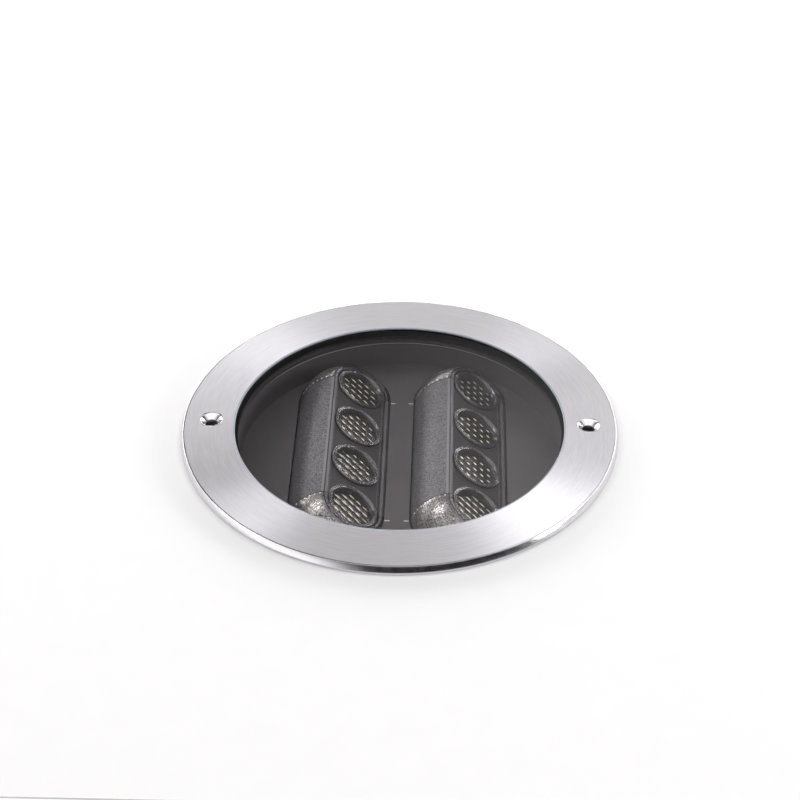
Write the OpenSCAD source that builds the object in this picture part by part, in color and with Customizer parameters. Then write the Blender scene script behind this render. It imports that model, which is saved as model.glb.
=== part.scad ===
// In ground well light: two tilting light pods in a painted cup, under one round glass.
// The body is built outward from the pods, so a longer or fatter pod gives a larger light.
// Origin: centre of the trim ring's underside, where it meets the ground. +Z up, +Y rear.

/* [Light pods] */
// Diameter of a pod's round barrel
pod_d = 47.2; // [45:0.2:50]
// Distance between the two pods' axes
pod_spacing = 58; // [56:0.5:66]
// Lean of both pods toward the right as set in use
pod_tilt = 30; // [-30:1:30]
// Depth of the pod's flat side below the barrel's round top
flat_depth = 6; // [5.2:0.1:6.4]
// Wall thickness of the barrel and caps
pod_wall = 2; // [1.4:0.1:2.6]
// Distance between neighbouring lenses
lens_pitch = 30.5; // [28:0.5:33]
// Depth of the lens plate's face below the flat border
plate_recess = 1.6; // [1.2:0.1:2]
// Thickness of the lens plate
plate_t = 2; // [1.6:0.1:2.4]
// Width of the pod's flat border beside the lens plate
border_w = 1.72; // [1.4:0.02:2]

/* [Lenses] */
// Flat rim of the lens plate beside the double rings
plate_rim = 0.7; // [0.4:0.1:1.2]
// Width of the double ring round a lens
bezel_w = 2.4; // [2.2:0.1:3.4]
// Height of the double ring above the lens plate
bezel_h = 1.5; // [1.2:0.1:1.8]
// Diameter of one small lens cell
cell_d = 3.6; // [2.8:0.1:4]
// Height of the dome of one lens cell
cell_rise = 0.5; // [0.2:0.1:0.8]
// Thickness of the LED board
board_t = 1.6; // [1:0.1:2]
// Width of the LED board
board_w = 20; // [18:0.5:22]

/* [Trim and glass] */
// Width of the steel trim ring's face
trim_w = 26; // [24:0.5:34]
// Thickness of the trim ring
trim_t = 4; // [3.6:0.1:5]
// Width of the polished bevel
bevel_w = 1.4; // [0.6:0.1:3]
// Height of the polished bevel
bevel_h = 2.8; // [1.5:0.1:3]
// Thickness of the trim's lip over the glass
lip_t = 0.8; // [0.6:0.1:1.2]
// Bore of the two sleeve screw holes
sleeve_bore_d = 5.7; // [5:0.1:6]
// Countersink diameter of the sleeve screw holes
sleeve_sink_d = 10.3; // [9:0.1:12]
// Thickness of the toughened glass
glass_t = 6; // [5:0.5:8]
// Width of the glass edge held under the trim
glass_cover = 4.5; // [4:0.1:6]
// Thickness of the foam tape on top of the glass edge
tape_t = 0.3; // [0.2:0.1:0.6]
// Thickness of the silicone seal under the glass
seal_t = 1.5; // [1:0.1:2.5]

/* [Frame and cup] */
// Thickness of the frame's flange below the trim
flange_t = 4; // [3.6:0.1:4.4]
// Thickness of the frame's ledge below the glass seal
ledge_t = 3.4; // [2.6:0.1:5]
// Gap between the glass and the pods at any tilt
pod_clear = 1.7; // [1.3:0.1:5]
// Thickness of the cup's side wall
cup_wall = 1.5; // [1:0.1:2]
// Thickness of the cup's floor
floor_t = 1.2; // [1:0.1:1.5]
// Depth of the pods' axes below the top of the cup's floor
axis_drop = 7.6; // [6.8:0.1:9]

/* [Housing] */
// Wall thickness of the cast housing
housing_wall = 3; // [2.4:0.1:4]
// Thickness of the shoulder that carries the gear tray
shoulder_t = 3.5; // [3.2:0.1:5]
// Height of the driver chamber below the gear tray
chamber_h = 42; // [38:1:60]
// Wall thickness of the driver chamber
chamber_wall = 3.5; // [3:0.1:4.5]
// Number of cooling fin positions round the driver chamber
fin_count = 36; // [24:4:40]
// Thickness of a cooling fin
fin_t = 2; // [1.4:0.1:2.6]
// Thickness of the bottom cover
cover_t = 4; // [3.6:0.1:6]

/* [Gear] */
// Thickness of the gear tray
tray_t = 2.5; // [2:0.1:3]
// Height of the pods above the gear tray
tray_gap = 3.5; // [3:0.1:8]
// Thickness of the pod brackets
bracket_t = 1.6; // [1.2:0.1:2]
// Length of the LED driver
driver_l = 74; // [66:1:78]
// Width of the LED driver
driver_w = 46; // [40:1:48]
// Height of the LED driver
driver_h = 26; // [20:1:30]
// Diameter of the supply cable that the gland takes
cable_d = 7; // [6:0.5:8]

/* [Hidden] */
$fn = 96;

// Clearances
fit = 0.1;          // between pieces that drop into each other
run_fit = 0.05;     // round a turning pin
air = 0.3;          // between pieces that move past each other
step = 0.4;         // small step or shoulder that hides an edge
over = 1;           // how far a cutting tool runs past a face

// Colours
steel = [0.78, 0.78, 0.80];
zinc = [0.70, 0.71, 0.73];
black_rubber = [0.05, 0.05, 0.05];
dark_paint = [0.20, 0.20, 0.21];
pod_paint = [0.33, 0.33, 0.34];
board_white = [0.90, 0.90, 0.86];

// Pod, measured from its own axis, with the flat side up
pod_r = pod_d / 2;
pod_in_r = pod_r - pod_wall;
flat_height = pod_r - flat_depth;
flat_hw = sqrt(pow(pod_r, 2) - pow(flat_height, 2));
lens_count = 4;
outer_lens_y = lens_pitch * (lens_count - 1) / 2;
seam_y = outer_lens_y - 0.75;
cap_y = outer_lens_y - 0.25;
plate_top = flat_height - plate_recess;
plate_bottom = plate_top - plate_t;
plate_groove = 0.3;
plate_ledge = 1.7;
notch_r = 0.8;
pocket_hw = flat_hw - border_w;
plate_hw = pocket_hw - plate_groove;
channel_hw = plate_hw - plate_ledge;
optic_h = 5.4;
board_top = plate_bottom - optic_h;
board_bottom = board_top - board_t;
web_t = 3;
web_bottom = board_bottom - web_t;
left_x = -pod_spacing / 2;
right_x = pod_spacing / 2;

// Pod fasteners and pivots
pin_r = 2.5;
pin_head_r = 4;
pin_head_t = 1.6;
pin_depth = 6.5;
pad_r = 5;
pad_proud = 0.1;
bush_flange_t = 0.8;
bush_wall = 0.95;
pole_y = cap_y + pod_r + pad_proud;
bush_y = pole_y + air;
bracket_y = bush_y + bush_flange_t;
bracket_out_y = bracket_y + bracket_t;
pin_head_y = bracket_out_y + 0.2;
pivot_boss_r = 5.5;
lock_orbit = 12;
lock_at = 135;
lock_swing = 60;
lock_r = 1.5;
lock_head_r = 2.75;
lock_head_t = 1.8;
lock_boss_r = 3.6;
lock_depth = 4;
port_r = 3;
port_orbit = pod_in_r - port_r + 0.3;
port_at = 130;
cap_screw_r = 1.25;
cap_screw_head_r = 2.2;
cap_screw_head_t = 2;
cap_screw_seat = 6;
cap_screw_reach = 7;
lead_y = 20;
lead_r = 1.6;
grommet_r = 3.4;
grommet_rim = 1.3;
grommet_rim_t = 0.9;
grommet_gap = pod_in_r - sqrt(pow(pod_in_r, 2) - pow(grommet_r + grommet_rim, 2)) + run_fit;

// Lens stack
bezel_r = plate_hw - plate_rim;
bezel_in_r = bezel_r - bezel_w;
bezel_sleeve = 0.9;
bezel_hole_r = bezel_in_r + bezel_sleeve + fit;
bezel_tube_share = 0.27;
bezel_tube = bezel_w * bezel_tube_share;
lens_r = bezel_in_r - fit;
lens_sink = 1.1;
lens_top = plate_top - lens_sink;
lens_skirt = 2.2;
lens_foot_w = 1.2;
lens_foot_r = 8.2;
cell_r = cell_d / 2;
cell_rings = 2;
cell_pitch = (lens_r - cell_r - fit) / cell_rings;
led_w = 5;
led_t = 0.9;
led_dome_r = 1.9;

// Driver chamber and cable entry, worked outward from the driver
driver_y = 10;
driver_ear = 9;
driver_ear_w = 12;
driver_ear_t = 3;
chamber_gap = 2.9;
chamber_in_r = norm([driver_l / 2, driver_y + driver_w / 2]) + chamber_gap;
chamber_r = chamber_in_r + chamber_wall;
gland_hex_r = 12.7;
gland_flat = gland_hex_r * cos(30);
washer_r = 11;
entry_x = chamber_r + air + gland_flat;

// Radii of the round body, worked outward from the pods
floor_margin = 0.83;
cup_draft = 1.2;
cup_side_gap = 1.4;
cup_lap = 1.8;
seal_show = 1.2;
frame_wall = 2.9;
flange_reach = 11.5;
sleeve_in = 11.6;
trim_screw_out = 6.5;
trim_screw_cover = 1;
ear_r = 6;
ear_out = 3.5;
ear_screw_cover = 1.5;
floor_bottom_chord = sqrt(pod_r * pod_r - pow(axis_drop - floor_t, 2));
slot_r = floor_bottom_chord + air + fit;
cup_floor_r = norm([right_x, cap_y]) + slot_r + floor_margin;
cup_rim_r = cup_floor_r + cup_draft;
opening_r = cup_rim_r - fit;
seal_in_r = opening_r - seal_show;
frame_bore_r = opening_r - step;
glass_r = opening_r + glass_cover;
seal_leg = 1;
frame_pocket_r = glass_r + seal_leg + fit;
rabbet_r = frame_pocket_r + step;
housing_in_r = max(cup_rim_r + cup_wall + cup_side_gap, entry_x + washer_r + 1);
housing_r = housing_in_r + housing_wall;
skirt_r = max(frame_pocket_r + frame_wall, housing_r + 2);
frame_flange_r = skirt_r + flange_reach;
trim_r = opening_r + trim_w;
sleeve_r = opening_r + sleeve_in;
trim_screw_orbit = skirt_r + trim_screw_out;
ear_orbit = skirt_r + ear_out;
cup_flange_r = housing_in_r + cup_lap;
cup_seat_r = cup_flange_r + 2 * fit;

// Heights, worked downward from the trim
glass_top = trim_t - lip_t - tape_t;
frame_top = step;
flange_bottom = frame_top - flange_t;
glass_bottom = glass_top - glass_t;
seal_bottom = glass_bottom - seal_t;
frame_bottom = seal_bottom - ledge_t;
gasket_t = 1;
housing_top = frame_bottom - gasket_t;
cup_flange_t = 1.2;
cup_seat = frame_bottom - cup_flange_t;
ear_t = 4;
housing_flange_t = 3.5;
axis_z = glass_bottom - pod_clear - pod_r;
floor_top = axis_z + axis_drop;
floor_bottom = floor_top - floor_t;
tray_top = axis_z - pod_r - tray_gap;
tray_bottom = tray_top - tray_t;
shoulder_bottom = tray_bottom - shoulder_t;
chamber_bottom = tray_bottom - chamber_h;
base_z = chamber_bottom - cover_t;

// Foot of the driver chamber
foot_flange_r = chamber_r + 7;
foot_flange_t = 4;
foot_screw_orbit = chamber_r + 2.3;
foot_boss_r = 4.5;
foot_boss_h = 16;
foot_screw_reach = 12;
shoulder_cover = 0.5;
bottom_seal_w = 2;
bottom_seal_t = 1.4;
bottom_seal_in_r = chamber_in_r + 0.7;
seal_squeeze = 0.2;
fin_top_drop = 5;
fin_inset = 2;
base_recess = 1;
base_rim = 14;
box_gasket_t = 1;
box_flange_t = 3.5;
box_top = shoulder_bottom - box_gasket_t;
box_low = box_top - box_flange_t;
foot_top = chamber_bottom + foot_flange_t;

// Tray and brackets
tray_r = housing_in_r - 1;
tray_boss_r = 4;
tray_boss_h = 4;
tray_boss_floor = 1.5;
tray_boss_gap = 2;
tray_hole_r = 6;
tray_rim = 1.5;
bracket_hw = right_x + 7;
bracket_top = floor_bottom - 0.6;
foot_hw = 24;
foot_len = 12;
bracket_waist = 16;
bracket_screw_x = 14;
bracket_screw_in = 6.5;
earth_y = driver_y + driver_w / 2 + 4;

// Screws
m4_r = 2;
m4_free_r = 2.25;
m4_head_r = 3.5;
m4_head_t = 2.4;
m4_sink_r = 4;
m4_sink_t = 2.2;
m4_tap_r = m4_r + run_fit;
cap_head_t = 4;
m3_r = 1.5;
m3_head_r = 2.75;
m3_head_t = 1.8;
drive_r = 1.6;
drive_t = 1.2;
box_screw_orbit = chamber_r + m4_head_r + fit;
box_flange_r = box_screw_orbit + 3;
tray_screw_orbit = box_flange_r + tray_boss_r + tray_boss_gap;

// Cable gland and vent
gland_r = 8;
gland_hex_t = 6;
gland_bore_r = 5.5;
gland_tail = 8;
gland_nut_t = 4;
washer_t = 1.2;
insert_t = 7;
dome_r = 10.6;
dome_t = 3;
vent_r = 6;
vent_hex_r = 9;
vent_hex_t = 5;
vent_nut_t = 3;
vent_slot = 1.6;

// Terminal block
block_gap = 6;
block_l = 34;
block_w = 18;
block_y = driver_y - driver_w / 2 - block_gap - block_w / 2;
block_h = 15;
pole_count = 3;
pole_pitch = 11;
wire_r = 1.1;
wire_hole_r = 1.6;
wire_drop = 8;
clamp_r = 2.2;
clamp_in = 4.5;
clamp_depth = 3;
clamp_slot = 0.8;
block_screw_r = 0.8;

// Ring between two radii and two heights
module ring(r_out, r_in, z_top, z_low) {
    translate([0, 0, z_low])
        difference() {
            cylinder(r = r_out, h = z_top - z_low);
            translate([0, 0, -over]) cylinder(r = r_in, h = z_top - z_low + 2 * over);
        }
}

// Upright cylinder between two heights
module post(r, z_top, z_low) {
    translate([0, 0, z_low]) cylinder(r = r, h = z_top - z_low);
}

// Children repeated evenly on a circle
module round_about(count, orbit, first = 0) {
    for (i = [0 : count - 1])
        rotate([0, 0, first + i * 360 / count])
            translate([orbit, 0, 0]) children();
}

// Plate with two half-round ends, long side along Y
module stadium(half_w, half_y, z_top, z_low) {
    for (s = [-1, 1])
        translate([0, s * half_y, 0]) post(half_w, z_top, z_low);
    translate([-half_w, -half_y, z_low]) cube([2 * half_w, 2 * half_y, z_top - z_low]);
}

// Cylinder along Y between two places
module rod(r, y_from, y_to) {
    translate([0, y_from, 0]) rotate([-90, 0, 0]) cylinder(r = r, h = y_to - y_from);
}

// Moves a piece from the pod's own axis to its place in the light
module pod_at(x) {
    translate([x, 0, axis_z]) rotate([0, pod_tilt, 0]) children();
}

// Place on a circle round the pod's axis, by the angle from straight up toward +X
module orbit_at(radius, angle) {
    translate([radius * sin(angle), 0, radius * cos(angle)]) children();
}

// Pan head screw pointing down, head seated at z = 0
module pan_screw(r, head_r, head_t, length) {
    difference() {
        union() {
            translate([0, 0, -length]) cylinder(r = r, h = length + head_t / 2);
            cylinder(r = head_r, h = head_t);
        }
        translate([0, 0, head_t - drive_t]) cylinder(r = drive_r, h = drive_t + over, $fn = 6);
    }
}

// Countersunk screw pointing up, its flat head face at z = 0
module sunk_screw(length) {
    difference() {
        union() {
            cylinder(r = m4_r, h = length);
            rotate_extrude()
                polygon([[0, 0], [m4_sink_r - fit, 0], [m4_r, m4_sink_t], [0, m4_sink_t]]);
        }
        translate([0, 0, -over]) cylinder(r = drive_r, h = drive_t + over, $fn = 6);
    }
}

// Countersink and clearance hole for the screw above, cut upward from z = 0
module sunk_hole(depth) {
    translate([0, 0, -over]) cylinder(r = m4_free_r, h = depth + 2 * over);
    rotate_extrude()
        polygon([[0, -over], [m4_sink_r, -over], [m4_sink_r, 0], [m4_free_r, m4_sink_t], [0, m4_sink_t]]);
}

// Steel ring with a thin lip over the glass, a bevelled edge and a step that centres the frame
module trim_ring() {
    color(steel)
        difference() {
            rotate_extrude()
                polygon([
                    [opening_r, trim_t], [trim_r - bevel_w, trim_t], [trim_r, trim_t - bevel_h],
                    [trim_r, 0], [frame_flange_r + fit, 0], [frame_flange_r + fit, frame_top],
                    [rabbet_r, frame_top], [rabbet_r, trim_t - lip_t], [opening_r, trim_t - lip_t]]);
            round_about(2, sleeve_r) {
                post(sleeve_bore_d / 2, trim_t + over, -over);
                rotate_extrude()
                    polygon([
                        [0, trim_t + over], [sleeve_sink_d / 2, trim_t + over], [sleeve_sink_d / 2, trim_t],
                        [sleeve_bore_d / 2, trim_t - (sleeve_sink_d - sleeve_bore_d) / 2],
                        [0, trim_t - (sleeve_sink_d - sleeve_bore_d) / 2]]);
            }
            round_about(4, trim_screw_orbit, 45) post(m4_tap_r, trim_t - trim_screw_cover, -over);
        }
}

// Countersunk screws that pull the trim down from below
module trim_screws() {
    color(zinc)
        round_about(4, trim_screw_orbit, 45)
            translate([0, 0, flange_bottom]) sunk_screw(trim_t - trim_screw_cover - step - flange_bottom);
}

// Thin foam tape between the lip and the glass
module glass_tape() {
    color(black_rubber) ring(glass_r, glass_r - 3, glass_top + tape_t, glass_top);
}

// Toughened glass disc with small ground edges
module cover_glass() {
    edge = 0.5;
    color([0.8, 0.9, 0.9, 0.3])
        rotate_extrude()
            polygon([
                [0, glass_bottom], [glass_r - edge, glass_bottom], [glass_r, glass_bottom + edge],
                [glass_r, glass_top - edge], [glass_r - edge, glass_top], [0, glass_top]]);
}

// Silicone seal of L section round the glass edge
module glass_seal() {
    leg_r = glass_r + seal_leg;
    leg_top = glass_top - 0.4;
    color(black_rubber)
        rotate_extrude()
            polygon([
                [seal_in_r, seal_bottom], [leg_r, seal_bottom], [leg_r, leg_top],
                [glass_r, leg_top], [glass_r, glass_bottom], [seal_in_r, glass_bottom]]);
}

// Cast frame that carries the trim and the glass
module frame_ring() {
    color(zinc)
        difference() {
            union() {
                rotate_extrude()
                    polygon([
                        [frame_pocket_r, frame_top], [frame_flange_r, frame_top],
                        [frame_flange_r, flange_bottom], [skirt_r, flange_bottom], [skirt_r, frame_bottom], [frame_bore_r, frame_bottom],
                        [frame_bore_r, seal_bottom], [frame_pocket_r, seal_bottom]]);
                difference() {
                    round_about(6, ear_orbit, 30) post(ear_r, flange_bottom / 2, housing_top);
                    post(skirt_r, 0, housing_top - over);
                }
            }
            round_about(6, ear_orbit, 30) post(m4_tap_r, -ear_screw_cover, housing_top - over);
            round_about(4, trim_screw_orbit, 45) translate([0, 0, flange_bottom]) sunk_hole(flange_t);
            round_about(2, sleeve_r) post(sleeve_bore_d / 2 + fit, frame_top + over, flange_bottom - over);
        }
}

// Flat gasket between frame and housing
module frame_gasket() {
    color(black_rubber)
        ring(skirt_r - air, cup_seat_r + air, frame_bottom, housing_top);
}

// Socket head screws that clamp housing and frame
module frame_screws() {
    color(zinc)
        round_about(6, ear_orbit, 30)
            translate([0, 0, housing_top - ear_t])
                rotate([180, 0, 0])
                    pan_screw(m4_r, m4_head_r, cap_head_t, ear_t - housing_top - ear_screw_cover - over);
}

// Painted cup with a shallow wall and two slots for the pods
module baffle_cup() {
    color(dark_paint)
        difference() {
            rotate_extrude()
                polygon([
                    [0, floor_top], [cup_floor_r, floor_top], [cup_rim_r, frame_bottom],
                    [cup_flange_r, frame_bottom], [cup_flange_r, cup_seat],
                    [cup_rim_r + cup_wall, cup_seat], [cup_floor_r + cup_wall, floor_bottom],
                    [0, floor_bottom]]);
            for (x = [left_x, right_x])
                translate([x, 0, 0]) stadium(slot_r, cap_y, floor_top + over, floor_bottom - over);
        }
}

// Cast pot round the pods, with a shoulder inside that carries the tray
module housing() {
    draft = 0.8;
    color(dark_paint)
        difference() {
            union() {
                rotate_extrude()
                    polygon([
                        [cup_seat_r, housing_top], [skirt_r, housing_top],
                        [skirt_r, housing_top - housing_flange_t],
                        [housing_r, housing_top - housing_flange_t], [housing_r - draft, shoulder_bottom], [chamber_in_r, shoulder_bottom],
                        [chamber_in_r, tray_bottom], [housing_in_r, tray_bottom],
                        [housing_in_r, cup_seat], [cup_seat_r, cup_seat]]);
                difference() {
                    round_about(6, ear_orbit, 30) post(ear_r, housing_top, housing_top - ear_t);
                    post(housing_in_r + 1, housing_top + over, housing_top - ear_t - over);
                    post(cup_seat_r, housing_top + over, cup_seat);
                }
                round_about(4, tray_screw_orbit, 45)
                    post(tray_boss_r, shoulder_bottom + over, shoulder_bottom - tray_boss_h);
            }
            round_about(6, ear_orbit, 30) post(m4_free_r, housing_top + over, housing_top - ear_t - over);
            round_about(4, tray_screw_orbit, 45)
                post(m4_tap_r, tray_bottom + over, shoulder_bottom - tray_boss_h + tray_boss_floor);
            round_about(6, box_screw_orbit, 30)
                post(m4_tap_r, tray_bottom - shoulder_cover, shoulder_bottom - over);
            translate([-entry_x, 0, 0]) post(gland_r + fit, tray_bottom + over, shoulder_bottom - over);
            translate([entry_x, 0, 0]) post(vent_r + fit, tray_bottom + over, shoulder_bottom - over);
        }
}

// Flat gasket between the housing's shoulder and the driver box
module box_gasket() {
    color(black_rubber) ring(chamber_r - air, chamber_in_r + air, shoulder_bottom, box_top);
}

// Cast driver box, bolted up under the shoulder, its upper flange cut away for gland and vent
module driver_box() {
    gland_side = gland_hex_r + 1;
    color(dark_paint)
        difference() {
            union() {
                ring(chamber_r, chamber_in_r, box_top, chamber_bottom);
                ring(foot_flange_r, chamber_in_r, foot_top, chamber_bottom);
                difference() {
                    ring(box_flange_r, chamber_in_r, box_top, box_low);
                    translate([-2 * chamber_r, -gland_side, box_low - over])
                        cube([4 * chamber_r, 2 * gland_side, box_flange_t + 2 * over]);
                }
                round_about(4, foot_screw_orbit, 45)
                    post(foot_boss_r, chamber_bottom + foot_boss_h, chamber_bottom);
            }
            round_about(6, box_screw_orbit, 30) post(m4_free_r, box_top + over, box_low - over);
            round_about(4, foot_screw_orbit, 45)
                post(m4_tap_r, chamber_bottom + foot_screw_reach + 1, chamber_bottom - over);
            ring(bottom_seal_in_r + bottom_seal_w, bottom_seal_in_r,
                chamber_bottom + bottom_seal_t, chamber_bottom - over);
        }
}

// Screws that hold the driver box under the housing
module box_screws() {
    color(zinc)
        round_about(6, box_screw_orbit, 30)
            translate([0, 0, box_low])
                rotate([180, 0, 0])
                    pan_screw(m4_r, m4_head_r, m4_head_t, tray_bottom - shoulder_cover - fit - box_low);
}

// One cooling fin, standing along +X between the driver box's two flanges
module fin() {
    rotate([90, 0, 0])
        linear_extrude(height = fin_t, center = true)
            polygon([
                [chamber_r, box_low], [housing_r - fin_inset, box_low],
                [housing_r - fin_inset, box_low - fin_top_drop],
                [foot_flange_r - fin_inset, foot_top], [chamber_r, foot_top]]);
}

// Smallest angle between a direction and a set of directions that repeat at even steps
function apart(a, first, step_a) = let (m = (a - first + 360) % step_a) min(m, step_a - m);

// Plate fins bonded round the driver box, clear of the gland, the vent and the screws
module cooling_fins() {
    fin_step = 360 / fin_count;
    fin_side = fin_t / 2 + fit;
    gland_a = asin((gland_hex_r + fin_side + 1) / entry_x);
    boss_a = asin((foot_boss_r + fin_side) / foot_screw_orbit);
    head_a = asin((m4_head_r + fin_side) / box_screw_orbit);
    color(dark_paint)
        for (i = [0 : fin_count - 1]) {
            a = (i + 0.5) * fin_step;
            if (apart(a, 0, 180) > gland_a && apart(a, 45, 90) > boss_a && apart(a, 30, 60) > head_a)
                rotate([0, 0, a]) fin();
        }
}

// Places of the two holes in the tray for the pods' leads, beside the terminal block
module each_tray_hole() {
    for (x = [-1, 1])
        translate([x * (block_l / 2 + tray_hole_r + tray_rim + 3), block_y, 0]) children();
}

// Flat aluminium tray that closes the driver chamber and carries the pod brackets
module gear_tray() {
    gland_notch_r = gland_hex_r + 3 * air;
    color(steel)
        difference() {
            post(tray_r, tray_top, tray_bottom);
            each_tray_hole() post(tray_hole_r, tray_top + over, tray_bottom - over);
            for (x = [-entry_x, entry_x]) {
                translate([x, 0, 0]) post(gland_notch_r, tray_top + over, tray_bottom - over);
                translate([x > 0 ? x : x - 2 * gland_notch_r, -gland_notch_r, tray_bottom - over])
                    cube([2 * gland_notch_r, 2 * gland_notch_r, tray_t + 2 * over]);
            }
            round_about(4, tray_screw_orbit, 45) post(m4_free_r, tray_top + over, tray_bottom - over);
            for (x = [-1, 1], y = [-1, 1])
                translate([x * bracket_screw_x, y * (bracket_y - bracket_screw_in), 0])
                    post(m4_tap_r, tray_top + over, tray_bottom - over);
            for (x = [-1, 1])
                translate([x * (driver_l / 2 + driver_ear / 2), driver_y, 0])
                    post(m3_r + run_fit, tray_top + over, tray_bottom - over);
            translate([0, block_y, 0]) post(m3_r + run_fit, tray_top + over, tray_bottom - over);
            translate([0, earth_y, 0]) post(m4_tap_r, tray_top + over, tray_bottom - over);
        }
}

// Screws that hold the tray on the housing's shoulder
module tray_screws() {
    reach = tray_top - shoulder_bottom + tray_boss_h - tray_boss_floor - step;
    color(zinc)
        round_about(4, tray_screw_orbit, 45)
            translate([0, 0, tray_top]) pan_screw(m4_r, m4_head_r, m4_head_t, reach);
}

// Rubber grommet of round section with a groove, its hole along Z and mid groove at z = 0
module grommet(r, hole_r, wall_half, rim, rim_t) {
    color(black_rubber)
        rotate_extrude()
            polygon([
                [hole_r, -wall_half - rim_t], [r + rim, -wall_half - rim_t], [r + rim, -wall_half],
                [r - fit, -wall_half], [r - fit, wall_half], [r + rim, wall_half],
                [r + rim, wall_half + rim_t], [hole_r, wall_half + rim_t]]);
}

// Grommets for the pods' leads in the tray
module tray_grommets() {
    each_tray_hole()
        translate([0, 0, (tray_top + tray_bottom) / 2])
            grommet(tray_hole_r, tray_hole_r - 2.5, tray_t / 2, tray_rim, 1.2);
}

// Earth screw on the tray
module earth_screw() {
    color([0.80, 0.66, 0.34])
        translate([0, earth_y, tray_top]) pan_screw(m4_r, m4_head_r, m4_head_t, tray_t + 4);
}

// Pod bracket at the +Y side: an upright plate on a foot, with two bush holes
module bracket_blank() {
    foot_t = bracket_t;
    difference() {
        union() {
            translate([0, bracket_out_y, 0])
                rotate([90, 0, 0])
                    linear_extrude(height = bracket_t)
                        polygon([
                            [-bracket_hw, bracket_top], [bracket_hw, bracket_top],
                            [bracket_hw, tray_top + bracket_waist], [foot_hw, tray_top],
                            [-foot_hw, tray_top], [-bracket_hw, tray_top + bracket_waist]]);
            translate([-foot_hw, bracket_y - foot_len, tray_top])
                cube([2 * foot_hw, foot_len + bracket_t, foot_t]);
        }
        for (x = [left_x, right_x])
            translate([x, 0, axis_z])
                rod(pin_r + run_fit + bush_wall + run_fit, bracket_y - over, bracket_out_y + over);
        for (x = [-1, 1])
            translate([x * bracket_screw_x, bracket_y - bracket_screw_in, 0])
                post(m4_free_r, tray_top + foot_t + over, tray_top - over);
        translate([0, 0, (axis_z + tray_top) / 2]) rod(7, bracket_y - over, bracket_out_y + over);
    }
}

// Arc slot for a lock screw, round the pod's axis, spanning the pod's whole swing
module arc_slot(side) {
    half_w = lock_r + 0.2;
    middle = side * lock_at;
    reach = 2 * lock_orbit;
    half_a = lock_swing / 2;
    intersection() {
        difference() {
            rod(lock_orbit + half_w, bracket_y - over, bracket_out_y + over);
            rod(lock_orbit - half_w, bracket_y - 2 * over, bracket_out_y + 2 * over);
        }
        translate([0, bracket_out_y + over, 0])
            rotate([90, 0, 0])
                linear_extrude(height = bracket_t + 2 * over)
                    polygon([
                        [0, 0], [reach * sin(middle - half_a), reach * cos(middle - half_a)],
                        [reach * sin(middle), reach * cos(middle)],
                        [reach * sin(middle + half_a), reach * cos(middle + half_a)]]);
    }
    for (a = [middle - half_a, middle + half_a])
        orbit_at(lock_orbit, a) rod(half_w, bracket_y - over, bracket_out_y + over);
}

// Front bracket, with the two arc slots of the lock screws
module front_bracket() {
    color(steel)
        mirror([0, 1, 0])
            difference() {
                bracket_blank();
                translate([left_x, 0, axis_z]) arc_slot(1);
                translate([right_x, 0, axis_z]) arc_slot(-1);
            }
}

// Rear bracket
module rear_bracket() {
    color(steel) bracket_blank();
}

// Screws that hold the brackets on the tray
module bracket_screws() {
    color(zinc)
        for (x = [-1, 1], y = [-1, 1])
            translate([x * bracket_screw_x, y * (bracket_y - bracket_screw_in), tray_top + bracket_t])
                pan_screw(m4_r, m4_head_r, m4_head_t, bracket_t + tray_t - 0.1);
}

// Flanged plastic bushes in which the pivot pins turn
module pivot_bushes() {
    color([0.88, 0.87, 0.82])
        for (x = [left_x, right_x], s = [0, 1])
            mirror([0, s, 0])
                translate([x, 0, axis_z])
                    difference() {
                        union() {
                            rod(pad_r, bush_y, bracket_y);
                            rod(pin_r + run_fit + bush_wall, bracket_y, bracket_out_y);
                        }
                        rod(pin_r + run_fit, bush_y - over, bracket_out_y + over);
                    }
}

// LED driver in a closed plastic case with two ears, hung below the tray
module driver_case() {
    corner = 4;
    half_l = driver_l / 2;
    half_w = driver_w / 2;
    color([0.93, 0.93, 0.92])
        translate([0, driver_y, tray_bottom])
            difference() {
                union() {
                    for (x = [-1, 1], y = [-1, 1])
                        translate([x * (half_l - corner), y * (half_w - corner), -driver_h])
                            cylinder(r = corner, h = driver_h);
                    translate([-half_l + corner, -half_w, -driver_h])
                        cube([driver_l - 2 * corner, driver_w, driver_h]);
                    translate([-half_l, -half_w + corner, -driver_h])
                        cube([driver_l, driver_w - 2 * corner, driver_h]);
                    translate([-half_l - driver_ear, -driver_ear_w / 2, -driver_ear_t])
                        cube([driver_l + 2 * driver_ear, driver_ear_w, driver_ear_t]);
                }
                for (x = [-1, 1])
                    translate([x * (half_l + driver_ear / 2), 0, -driver_ear_t - over])
                        cylinder(r = m3_r + fit, h = driver_ear_t + 2 * over);
            }
}

// Screws through the driver's ears into the tray
module driver_screws() {
    color(zinc)
        for (x = [-1, 1])
            translate([x * (driver_l / 2 + driver_ear / 2), driver_y, tray_bottom - driver_ear_t])
                rotate([180, 0, 0])
                    pan_screw(m3_r, m3_head_r, m3_head_t, driver_ear_t + tray_t - 0.1);
}

// Places of the terminal block's six clamp screws
module each_clamp() {
    for (i = [0 : pole_count - 1], s = [-1, 1])
        translate([(i - (pole_count - 1) / 2) * pole_pitch, block_y + s * (block_w / 2 - clamp_in), 0])
            children();
}

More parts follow.
